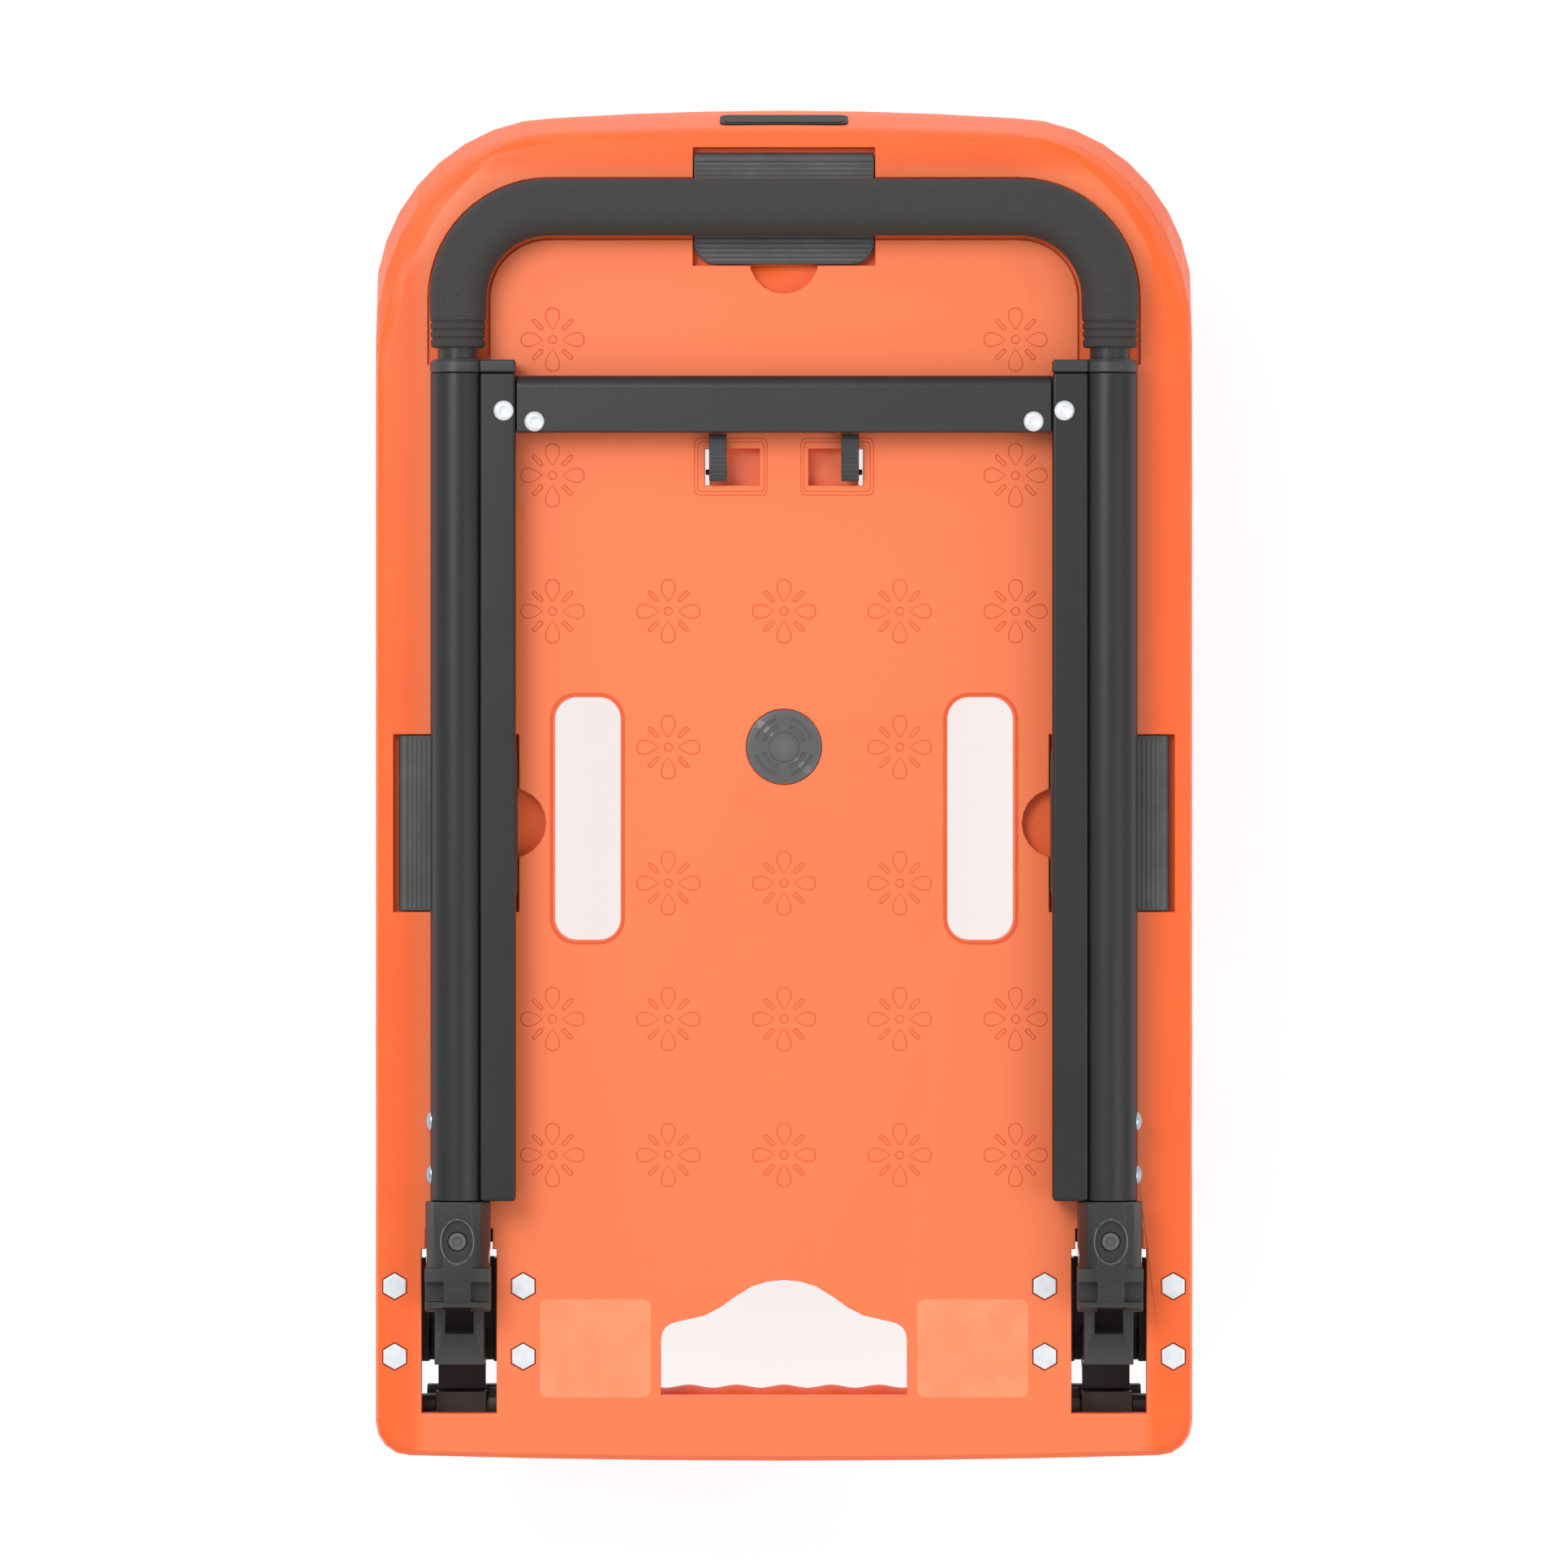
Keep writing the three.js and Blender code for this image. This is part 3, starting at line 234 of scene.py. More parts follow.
def closedFoam(name, colour, pale):
    finish = Finish(name)
    pores = finish.cells(1500)
    lumps = finish.noise(260, 3)
    tone = finish.blend(finish.ramp(pores, [(0.05, 0), (0.5, 1)]) * 0.5 + lumps * 0.3, colour, pale)
    return finish.surface(
        Base_Color=tone,
        Roughness=0.82 + (lumps - 0.5) * 0.14,
        Normal=finish.bump(pores * 0.7 + lumps * 0.6, 0.35, 0.0003),
        Specular_IOR_Level=0.35,
    )


def tyreRubber(name, colour, pale):
    finish = Finish(name)
    grain = finish.noise(1300, 3)
    dust = finish.ramp(finish.noise(45, 5), [(0.45, 0), (0.75, 1)])
    return finish.surface(
        Base_Color=finish.blend(dust * 0.5, colour, pale),
        Roughness=0.74 + dust * 0.12 + (grain - 0.5) * 0.1,
        Normal=finish.bump(grain, 0.25, 0.0003),
    )


# Zinc plate: bright and slightly cloudy, with a fine brushed line.
def zincPlate(name, colour, cloudy, metallic=0.85):
    finish = Finish(name)
    cloud = finish.noise(180, 4)
    line = finish.noise(900, 2, stretch=(1, 8, 1))
    return finish.surface(
        Base_Color=finish.blend(finish.ramp(cloud, [(0.35, 0), (0.7, 1)]), colour, cloudy),
        Metallic=metallic,
        Roughness=0.3 + (cloud - 0.5) * 0.22 + (line - 0.5) * 0.12,
        Normal=finish.bump(line, 0.12, 0.0002),
    )


finishes = {
    # The deck: a deeper orange painted as shade on its rims, and a paler tone painted as sheen on its load
    # face.
    "deck": mouldedPlastic("orangeDeck", shade(253, 104, 32), shade(248, 98, 28), shade(238, 84, 18), 0.46,
                           paintedSheen=shade(250, 122, 71)),
    "line": mouldedPlastic("orangeLine", shade(236, 92, 36), shade(228, 86, 32), shade(226, 78, 22), 0.5),
    "orange": mouldedPlastic("orangeParts", shade(240, 96, 38), shade(230, 86, 34), shade(250, 138, 90),
                             0.42),
    "label": mouldedPlastic("orangeSmooth", shade(251, 136, 88), shade(250, 130, 82), shade(252, 156, 112),
                            0.34, grain=3200, relief=0.05),
    "plastic": mouldedPlastic("blackPlastic", shade(40, 40, 41), shade(34, 34, 35), shade(78, 78, 78), 0.42,
                              grain=1700),
    "cap": mouldedPlastic("greyPlastic", shade(88, 88, 88), shade(78, 78, 79), shade(124, 124, 124), 0.5),
    "flap": mouldedPlastic("flapPlastic", shade(58, 58, 59), shade(50, 50, 51), shade(96, 96, 96), 0.46),
    "coat": powderCoat("blackCoat", shade(34, 34, 35), shade(56, 56, 57)),
    # A darker copy of the black coat: painted shade for the round handle tubes.
    "tube": powderCoat("tubeCoatPaintedShade", shade(21, 21, 22), shade(40, 40, 41)),
    "foam": closedFoam("darkFoam", shade(44, 42, 42), shade(70, 67, 66)),
    "rubber": tyreRubber("blackRubber", shade(36, 36, 37), shade(70, 68, 66)),
    "zinc": zincPlate("zincPlate", shade(196, 208, 214), shade(160, 176, 184)),
    # A paler, less metallic copy of the zinc plate for bolt heads and screws: the zinc's own pale colour with a
    # painted glint.
    "bright": zincPlate("zincPaintedGlint", shade(241, 243, 246), shade(222, 227, 232), 0.3),
    "badge": mouldedPlastic("badgeBlack", shade(18, 18, 19), shade(14, 14, 15), shade(60, 60, 60), 0.5,
                            relief=0.04, specular=0.15),
}
print("finishes made")


# A finished mesh becomes a piece on a body, in place of the named nodes.
def finishPiece(mesh, name, body, finish, replaced=(), sharp=34, weighted=True):
    data = bpy.data.meshes.new(name)
    mesh.to_mesh(data)
    mesh.free()
    piece = bpy.data.objects.new(name, data)
    bpy.context.scene.collection.objects.link(piece)
    data.materials.append(finishes[finish])
    data.shade_smooth()
    data.set_sharp_from_angle(angle=math.radians(sharp))
    if weighted:
        modifier = piece.modifiers.new("weighted", "WEIGHTED_NORMAL")
        modifier.keep_sharp = True
    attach(piece, body)
    if replaced:
        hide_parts(*replaced)
    return piece


def bodyOf(node):
    return nodes[node]["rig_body"]


def bevelEdges(mesh, edges, width, segments=2):
    bmesh.ops.bevel(mesh, geom=edges, offset=width, offset_type="OFFSET", affect="EDGES", segments=segments,
                    profile=0.5, material=-1, clamp_overlap=False)


def sharpEdges(mesh, angle=30):
    limit = math.radians(angle)
    return [e for e in mesh.edges if len(e.link_faces) == 2 and e.calc_face_angle() > limit]


# The CAD solid with merged faces and rounded edges.
def refined(node, name, finish, width, segments=2, shortest=0.8):
    mesh = bmesh.new()
    mesh.from_mesh(nodes[node].data)
    bmesh.ops.remove_doubles(mesh, verts=mesh.verts, dist=weld)
    bmesh.ops.dissolve_limit(mesh, angle_limit=flatness, verts=mesh.verts, edges=mesh.edges)
    if width:
        edges = [e for e in sharpEdges(mesh) if e.calc_length() > shortest * mm]
        bevelEdges(mesh, edges, width * mm, segments)
    finishPiece(mesh, name, bodyOf(node), finish, [node])


# Adds what build makes, moved by the matrix, to the mesh.
def stamp(mesh, build, matrix, *settings):
    part = bmesh.new()
    build(part, *settings)
    bmesh.ops.transform(part, matrix=matrix, verts=part.verts)
    if matrix.determinant() < 0:
        bmesh.ops.reverse_faces(part, faces=part.faces)
    data = bpy.data.meshes.new("part")
    part.to_mesh(data)
    part.free()
    mesh.from_mesh(data)
    bpy.data.meshes.remove(data)


def facing(at, axis):
    turn = Vector((0, 0, 1)).rotation_difference(Vector(axis))
    return Matrix.Translation(Vector(at)) @ turn.to_matrix().to_4x4()


def flip(side):
    return Matrix.Diagonal((side, 1, 1, 1))


# A profile of (radius, height) pairs, in mm, spun about Z; it is closed unless it starts on the axis.
def turned(mesh, profile, steps=48):
    verts = [mesh.verts.new((r * mm, 0, h * mm)) for r, h in profile]
    loop = profile[0][0] > 0
    pairs = list(zip(verts, verts[1:] + verts[:1])) if loop else list(zip(verts, verts[1:]))
    edges = [mesh.edges.new(pair) for pair in pairs]
    bmesh.ops.spin(mesh, geom=verts + edges, cent=(0, 0, 0), axis=(0, 0, 1), dvec=(0, 0, 0),
                   angle=math.tau, steps=steps, use_merge=True, use_duplicate=False)
    bmesh.ops.remove_doubles(mesh, verts=mesh.verts, dist=0.001 * mm)
    bmesh.ops.recalc_face_normals(mesh, faces=mesh.faces)


def cuboid(mesh, x, y, z, round=0.6, segments=2):
    made = bmesh.ops.create_cube(mesh, size=1)["verts"]
    size = ((x[1] - x[0]) * mm, (y[1] - y[0]) * mm, (z[1] - z[0]) * mm)
    middle = ((x[0] + x[1]) / 2 * mm, (y[0] + y[1]) / 2 * mm, (z[0] + z[1]) / 2 * mm)
    bmesh.ops.scale(mesh, vec=size, verts=made)
    bmesh.ops.translate(mesh, vec=middle, verts=made)
    if round:
        edges = list({e for v in made for e in v.link_edges})
        bevelEdges(mesh, edges, round * mm, segments)


# An outline of points in mm, filled, given a thickness along Z and rounded edges.
def plate(mesh, outline, low, high, round=0.6, segments=2):
    verts = [mesh.verts.new((x * mm, y * mm, low * mm)) for x, y in outline]
    face = mesh.faces.new(verts)
    raised = bmesh.ops.extrude_face_region(mesh, geom=[face])["geom"]
    top = [g for g in raised if isinstance(g, bmesh.types.BMVert)]
    bmesh.ops.translate(mesh, vec=(0, 0, (high - low) * mm), verts=top)
    faces = list({f for v in verts + top for f in v.link_faces})
    bmesh.ops.recalc_face_normals(mesh, faces=faces)
    if round:
        ends = set(verts + top)
        edges = [e for e in {e for f in faces for e in f.edges} if set(e.verts) <= ends
                 and e.calc_face_angle() > math.radians(40)]
        bevelEdges(mesh, edges, round * mm, segments)


def arc(centre, radius, start, end, steps):
    turns = [math.radians(start + (end - start) * i / steps) for i in range(steps + 1)]
    return [(centre[0] + radius * math.cos(t), centre[1] + radius * math.sin(t)) for t in turns]


def roundedOutline(x, y, radius, steps=6):
    corners = [((x[1] - radius, y[0] + radius), -90), ((x[1] - radius, y[1] - radius), 0),
               ((x[0] + radius, y[1] - radius), 90), ((x[0] + radius, y[0] + radius), 180)]
    return [p for centre, start in corners for p in arc(centre, radius, start, start + 90, steps)]


# Fasteners, each standing on Z = 0.
def hexHead(mesh, flats, height, washer=0):
    radius = flats / 2 / math.cos(math.pi / 6) * mm
    made = bmesh.ops.create_cone(mesh, cap_ends=True, segments=6, radius1=radius, radius2=radius,
                                 depth=height * mm)
    bmesh.ops.translate(mesh, vec=(0, 0, height / 2 * mm), verts=made["verts"])
    top = [e for e in mesh.edges if all(v.co.z > height * 0.9 * mm for v in e.verts)]
    bevelEdges(mesh, top, 0.9 * mm, 3)
    if washer:
        disc = [(0, -0.3), (washer, -0.3), (washer, 0.9), (washer - 0.4, 1.2), (0, 1.2)]
        stamp(mesh, turned, Matrix(), disc, 32)


def hexNut(mesh, flats, height, thread):
    hexHead(mesh, flats, height, flats * 0.62)
    end = height + 2.4
    shank = [(0, 0), (thread, 0), (thread, end - 0.8), (thread - 0.8, end), (0, end)]
    stamp(mesh, turned, Matrix(), shank, 20)


def domeHead(mesh, radius, height):
    bulge = [(radius * math.sin(t), height * math.cos(t)) for t in (0, 0.3, 0.6, 0.9, 1.15, 1.35)]
    turned(mesh, [(0, bulge[0][1])] + bulge[1:] + [(radius, 0.1), (radius, -0.3), (0, -0.3)], 28)


def socketScrew(mesh, radius, height):
    turned(mesh, [(0, height - 1.7), (2.0, height - 1.5), (2.5, height - 1.3), (2.7, height),
                  (radius * 0.62, height), (radius * 0.85, height * 0.8), (radius, height * 0.35),
                  (radius, -0.3), (0, -0.3)], 30)


# Lengths of pipe that bend in a hoop: a ring of edges is pulled straight or spun about the bend.
def pull(mesh, ring, move, grow=1.0):
    made = bmesh.ops.extrude_edge_only(mesh, edges=ring)["geom"]
    verts = [g for g in made if isinstance(g, bmesh.types.BMVert)]
    middle = sum((v.co for v in verts), Vector()) / len(verts)
    bmesh.ops.scale(mesh, vec=(grow, grow, grow), space=Matrix.Translation(-middle), verts=verts)
    bmesh.ops.translate(mesh, vec=move, verts=verts)
    known = set(verts)
    return [g for g in made if isinstance(g, bmesh.types.BMEdge) and set(g.verts) <= known]


def spinRing(mesh, ring, centre, steps):
    verts = list({v for e in ring for v in e.verts})
    last = bmesh.ops.spin(mesh, geom=verts + ring, cent=centre, axis=(0, 0, 1), dvec=(0, 0, 0),
                          angle=math.pi / 2, steps=steps, use_merge=False, use_duplicate=False)["geom_last"]
    return [g for g in last if isinstance(g, bmesh.types.BMEdge)]


# ends: (distance from the end of the leg, radius) pairs, in mm.
def hoop(mesh, node, bend, ends, sides, steps):
    low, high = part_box(node)
    reach = (high.z - low.z) / 2
    x, top, level = high.x - reach, high.y - reach, (high.z + low.z) / 2
    upright = Matrix.Translation((x, low.y, level)) @ Matrix.Rotation(math.pi / 2, 4, "X")
    made = bmesh.ops.create_circle(mesh, cap_ends=False, segments=sides, radius=ends[0][1] * mm,
                                   matrix=upright)
    ring = list({e for v in made["verts"] for e in v.link_edges})
    bmesh.ops.edgeloop_fill(mesh, edges=ring)
    for before, now in zip(ends, ends[1:]):
        ring = pull(mesh, ring, (0, (now[0] - before[0]) * mm, 0), now[1] / before[1])
    straight = top - bend * mm - low.y - ends[-1][0] * mm
    ring = pull(mesh, ring, (0, straight, 0))
    ring = spinRing(mesh, ring, (x - bend * mm, top - bend * mm, level), steps)
    ring = pull(mesh, ring, (-2 * (x - bend * mm), 0, 0))
    ring = spinRing(mesh, ring, (bend * mm - x, top - bend * mm, level), steps)
    ring = pull(mesh, ring, (0, -straight, 0))
    for before, now in zip(ends[::-1], ends[::-1][1:]):
        ring = pull(mesh, ring, (0, (now[0] - before[0]) * mm, 0), now[1] / before[1])
    bmesh.ops.edgeloop_fill(mesh, edges=ring)
    bmesh.ops.recalc_face_normals(mesh, faces=mesh.faces)


# Both halves are mirror images, so the right one is built and the left one is flipped.
def bothSides(name, finish, body, build, replaced=(), sharp=34):
    for word, side in (("right", 1), ("left", -1)):
        mesh = bmesh.new()
        stamp(mesh, build, flip(side))
        replacing = [node.format(word) for node in replaced]
        finishPiece(mesh, f"{name}_{word}", body.format(word), finish, replacing, sharp)


# ---- the handle ----
grooves = {"first": 4.0, "pitch": 4.4, "width": 1.5, "depth": 0.8}
foam = {"bend": 49, "radius": 15.5, "end": 14.6, "sides": 48, "steps": 22}
upper = {"bend": 49, "ends": [(0, 9.6), (0, 10.6), (0.4, 11)], "sides": 40, "steps": 16}
rail = {"bend": 48, "ends": [(0, 4.6), (0, 5.4), (0.6, 6)], "sides": 32, "steps": 16}


def foamEnds():
    ends = [(0, 12.4), (0, 14.0), (0.7, foam["end"])]
    for i in range(3):
        start = grooves["first"] + i * grooves["pitch"]
        land = foam["end"] + 0.15 * (i + 1)
        ends += [(start, land), (start + 0.3, land - grooves["depth"]),
                 (start + grooves["width"], land - grooves["depth"]), (start + grooves["width"] + 0.3, land)]
    return ends + [(20, foam["radius"] - 0.12), (30, foam["radius"])]


mesh = bmesh.new()
hoop(mesh, "foam_grip", foam["bend"], foamEnds(), foam["sides"], foam["steps"])
finishPiece(mesh, "foam_sleeve", "handle_upper", "foam", ["foam_grip"], 50, False)
mesh = bmesh.new()
hoop(mesh, "upper_tube", **upper)
finishPiece(mesh, "sliding_hoop", "handle_upper", "coat", ["upper_tube"], 50, False)
mesh = bmesh.new()
hoop(mesh, "frame_rail", **rail)
finishPiece(mesh, "frame_bar", "root", "coat", ["frame_rail"], 50, False)

handle = {
    "radius": 15, "bore": 11.3, "rivets": (43.2, 14.2), "rivetRadius": 6, "rivetHeight": 3.4,
    "screwRadius": 5.4, "screwHeight": 2.2, "screws": ((152, 202.4), (135.4, 196.6)),
    "barInset": 12, "barLow": 10, "barHigh": 11,
}
tubeLow, tubeHigh = (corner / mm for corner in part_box("outer_tube_right"))
railX = tubeHigh.x - handle["radius"]
tubeZ = (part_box("foam_grip")[0].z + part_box("foam_grip")[1].z) / 2 / mm
collarLow, collarHigh = (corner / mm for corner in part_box("tube_collar_right"))


def pipe(mesh, radius, y):
    bore, lip = handle["bore"], 0.5
    profile = [(bore, y[0]), (radius - lip, y[0]), (radius, y[0] + lip), (radius, y[1] - lip),
               (radius - lip, y[1]), (bore, y[1])]
    matrix = Matrix.Translation((railX * mm, 0, tubeZ * mm)) @ Matrix.Rotation(-math.pi / 2, 4, "X")
    stamp(mesh, turned, matrix, profile, 56)


# The square bar along the inner side of a tube.
def sideBar(mesh, inner, y, rounding):
    z = (tubeZ - handle["barLow"], tubeZ + handle["barHigh"])
    cuboid(mesh, (inner, railX - handle["barInset"]), y, z, rounding, 3)


def outerTube(mesh):
    y = (tubeLow.y, tubeHigh.y)
    pipe(mesh, handle["radius"], y)
    sideBar(mesh, tubeLow.x, y, 1.6)


def collar(mesh):
    y = (collarLow.y, collarHigh.y)
    pipe(mesh, handle["radius"] + 0.2, (y[0], y[1] - 1.2))
    pipe(mesh, handle["radius"] - 1.2, (y[1] - 1.6, y[1]))
    sideBar(mesh, collarLow.x, (y[0], y[1] - 0.4), 1.2)


def handleRivets(mesh):
    for inset in handle["rivets"]:
        at = ((railX + handle["radius"] - 0.7) * mm, (tubeLow.y + inset) * mm, (tubeZ - 1) * mm)
        stamp(mesh, domeHead, facing(at, (1, 0, 0)), handle["rivetRadius"], handle["rivetHeight"])


def handleScrews(mesh):
    tops = (tubeHigh.z - 4.1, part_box("crossbar")[1].z / mm)
    for (x, y), top in zip(handle["screws"], tops):
        at = facing((x * mm, y * mm, top * mm), (0, 0, 1))
        stamp(mesh, socketScrew, at, handle["screwRadius"], handle["screwHeight"])


bothSides("tube", "tube", "handle_lower", outerTube, ["outer_tube_{}"])
bothSides("collar", "plastic", "handle_lower", collar, ["tube_collar_{}"])
bothSides("tube_rivets", "zinc", "handle_lower", handleRivets)
bothSides("handle_screws", "bright", "handle_lower", handleScrews)
refined("crossbar", "cross_bar", "coat", 0.9, 3)
print("handle made")


# ---- knuckles, hinge brackets, release ----
knuckle = {"rimLevel": 15.15, "rimStretch": 1.38, "button": 4.9}
buttonLow, buttonHigh = (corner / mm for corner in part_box("lock_button_right"))
buttonY = (buttonLow.y + buttonHigh.y) / 2


def recessRim(mesh):
    at = Matrix.Translation((railX * mm, buttonY * mm, (tubeZ + knuckle["rimLevel"]) * mm))
    ring = [(8.4, 0), (9.3, 0), (9.3, 0.5), (9.0, 0.8), (8.6, 0.8), (8.4, 0.5)]
    stamp(mesh, turned, at @ Matrix.Diagonal((1, knuckle["rimStretch"], 1, 1)), ring, 48)


def pushButton(mesh):
    r, low, high = knuckle["button"], buttonLow.z, buttonHigh.z
    at = Matrix.Translation((railX * mm, buttonY * mm, 0))
    stamp(mesh, turned, at, [(0, high - 1.1), (1.8, high - 0.9), (2.6, high - 0.1), (3.4, high),
                             (r - 0.6, high - 0.2), (r, high - 0.9), (r, low), (0, low)], 40)


bothSides("knuckle_rim", "cap", "handle_lower", recessRim)
bothSides("push_button", "cap", "lock_button_{}", pushButton, ["lock_button_{}"])

# Node, piece, finish and rounding.
plain = (
    ("knuckle", "knuckle_body", "plastic", 0.7), ("hinge_bracket", "bracket", "coat", 0.6),
    ("hinge_pin", "pin", "zinc", 0.5), ("lock_slide", "slide", "plastic", 0.5),
    ("pull_wire", "wire", "zinc", 0), ("beam_dog", "dog", "plastic", 0.6),
    ("side_cover", "cover", "plastic", 0.7), ("stow_latch", "latch", "plastic", 0.4),
)
for word in ("right", "left"):
    for node, piece, finish, rounding in plain:
        refined(f"{node}_{word}", f"{piece}_{word}", finish, rounding)
refined("release_bar", "pull_bar", "coat", 0.8)

latch = {"ridges": 5, "pitch": 2.4, "first": 4, "width": 9.6, "rise": 2, "high": 0.35, "heel": 2.3, "toe": 5}


# Ridges across the sloping top of a latch's arm.
def latchRidges(mesh):
    low, high = (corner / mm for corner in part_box("stow_latch_right"))
    slope = latch["rise"] / (high.y - low.y - latch["heel"] - latch["toe"])
    x = (low.x + 0.2, low.x + latch["width"] - 0.2)
    for i in range(latch["ridges"]):
        y = low.y + latch["first"] + i * latch["pitch"]
        level = high.z - latch["rise"] + (y - low.y - latch["heel"]) * slope
        top = min(high.z, level + latch["high"])
        cuboid(mesh, x, (y - 0.5, y + 0.5), (top - 1, top), 0.2, 1)


bothSides("latch_ridges", "plastic", "stow_latch_{}", latchRidges)

grip = {"pitch": 26, "radius": 10.6, "height": 0.85, "steps": 90, "sides": 40}


def gripTube(mesh):
    low, high = (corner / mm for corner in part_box("release_grip"))
    half = high.x
    profile = [(0, -half), (grip["radius"] - 2, -half)]
    for i in range(grip["steps"] + 1):
        along = -half + 0.8 + (2 * half - 1.6) * i / grip["steps"]
        profile.append((grip["radius"] + grip["height"] * math.cos(along / grip["pitch"] * math.tau), along))
    profile += [(grip["radius"] - 2, half), (0, half)]
    at = Matrix.Translation((0, (low.y + high.y) / 2 * mm, (low.z + high.z) / 2 * mm))
    stamp(mesh, turned, at @ Matrix.Rotation(math.pi / 2, 4, "Y"), profile, grip["sides"])


mesh = bmesh.new()
gripTube(mesh)
finishPiece(mesh, "grip_tube", "release", "orange", ["release_grip"], 60, False)
print("release made")


# ---- wheel beams ----
wheel = {
    "seat": 34.3, "radius": 44.5, "half": 14, "steps": 120, "notchEvery": 8, "notchWide": 3, "notchDeep": 1.7,
    "notched": (40.8, 44.45), "notchLevel": 10.3,
}
castor = {
    "trail": 32.2, "reach": 120.5, "boss": 17.5, "guard": 53, "guardThick": 2.6, "plates": (17, 20),
    "tip": 56, "shoulder": -8, "heel": (42.9, -41.5), "crown": 17.8, "crownEnds": (73, 57),
    "neck": 43.3, "swivelNeck": 46.6,
}


def tyre(mesh):
    seat, radius, half = wheel["seat"], wheel["radius"], wheel["half"]
    turned(mesh, [(seat, -half + 0.6), (seat + 0.6, -half), (40.6, -half), (41.2, -half + 0.3), (44.1, -10.2),
                  (radius, -9.3), (radius, -1.6), (radius - 0.9, -1), (radius - 0.9, 1), (radius, 1.6),
                  (radius, 9.3), (44.1, 10.2), (41.2, half - 0.3), (40.6, half), (seat + 0.6, half),
                  (seat, half - 0.6)], wheel["steps"])
    inner, outer = wheel["notched"]
    for sense in (1, -1):
        for first in range(0, wheel["steps"], wheel["notchEvery"]):
            chosen = []
            for face in mesh.faces:
                middle = face.calc_center_median() / mm
                step = int(math.degrees(math.atan2(middle.y, middle.x)) % 360 / 360 * wheel["steps"])
                near = first <= step < first + wheel["notchWide"]
                rounded = inner < math.hypot(middle.x, middle.y) < outer
                if near and rounded and sense * middle.z > wheel["notchLevel"]:
                    chosen.append(face)
            bmesh.ops.inset_region(mesh, faces=chosen, thickness=0.35 * mm, depth=0, use_even_offset=True)
            bmesh.ops.inset_region(mesh, faces=chosen, thickness=0.02 * mm, depth=-wheel["notchDeep"] * mm,
                                   use_even_offset=True)


def hub(mesh):
    profile = [(4.3, 16.2), (8.2, 16.2), (9.6, 15.4), (11.2, 9.4), (13, 8.2), (20, 7.6), (25.2, 8.6),
               (27.4, 12.2), (28.2, 12.9), (30.6, 12.9), (31.2, 12.2), (33.2, 12.2), (34, 11.4)]
    turned(mesh, profile + [(r, -h) for r, h in profile[::-1]], 72)


def axlePin(mesh):
    end = castor["plates"][1] + 0.3
    turned(mesh, [(0, -end - 3.9), (2.4, -end - 3.6), (4.6, -end - 2.6), (6.1, -end - 1.2), (6.6, -end - 0.2),
                  (6.6, -end), (4, -end), (4, end), (7, end), (7, end + 0.9), (6.6, end + 1), (0, end + 1)], 40)
    stamp(mesh, hexHead, Matrix.Translation((0, 0, (end + 0.9) * mm)), 10, 4)


# One side plate's outline, seen from above, with the wheel's axle in the middle.
def finOutline():
    boss, guard, crown, heel = castor["boss"], castor["guard"], castor["crown"], castor["heel"]
    stemX, stemY = castor["reach"], -castor["trail"]
    turn = math.radians(castor["tip"])
    tip = (guard * math.cos(turn), guard * math.sin(turn))
    rearEnd, frontEnd = castor["crownEnds"]

    def touching(point, sense):
        away = math.degrees(math.atan2(point[1], point[0]))
        return away + sense * math.degrees(math.acos(boss / math.hypot(*point)))

    front = touching(tip, 1)
    rear = touching(heel, -1) + 360
    outline = [(stemX - frontEnd, stemY - crown), (stemX - frontEnd, stemY + crown)]
    outline += arc((0, 0), guard, castor["shoulder"], castor["tip"], 20)
    outline += arc((0, 0), boss, front, rear, 22)
    return outline + [heel, (stemX - rearEnd, stemY - crown)]


def fork(mesh, swivel):
    inner, outer = castor["plates"]
    for low, high in ((inner, outer), (-outer, -inner)):
        stamp(mesh, plate, Matrix(), finOutline(), low, high, 1.0, 3)
    guard, tip, shoulder, crown = castor["guard"], castor["tip"], castor["shoulder"], castor["crown"]
    shell = arc((0, 0), guard, shoulder, tip, 24)
    shell += arc((0, 0), guard - castor["guardThick"], tip, shoulder, 24)
    stamp(mesh, plate, Matrix(), shell, -inner - 0.5, inner + 0.5, 0)
    stemX, stemY = castor["reach"], -castor["trail"]
    rearEnd, frontEnd = castor["crownEnds"]
    x = (stemX - rearEnd + 0.4, stemX - frontEnd + 1)
    cuboid(mesh, x, (stemY - crown + 0.2, stemY + crown - 0.2), (0.3 - outer, outer - 0.3), 1.4, 3)
    neckEnd = stemX - castor["swivelNeck" if swivel else "neck"]
    along = Matrix.Translation((0, stemY * mm, 0)) @ Matrix.Rotation(math.pi / 2, 4, "Y")
    rings = [(0, stemX - 60), (crown, stemX - 60), (crown, stemX - 54.4), (17.0, stemX - 53.8),
             (17.0, stemX - 52.6), (crown, stemX - 52), (crown, neckEnd - 0.7), (17.1, neckEnd), (13, neckEnd)]
    if swivel:
        rings += [(13, stemX - castor["neck"])]
    rings += [(5, rings[-1][1]), (5, stemX - 24), (0, stemX - 24)]
    stamp(mesh, turned, along, rings, 56)


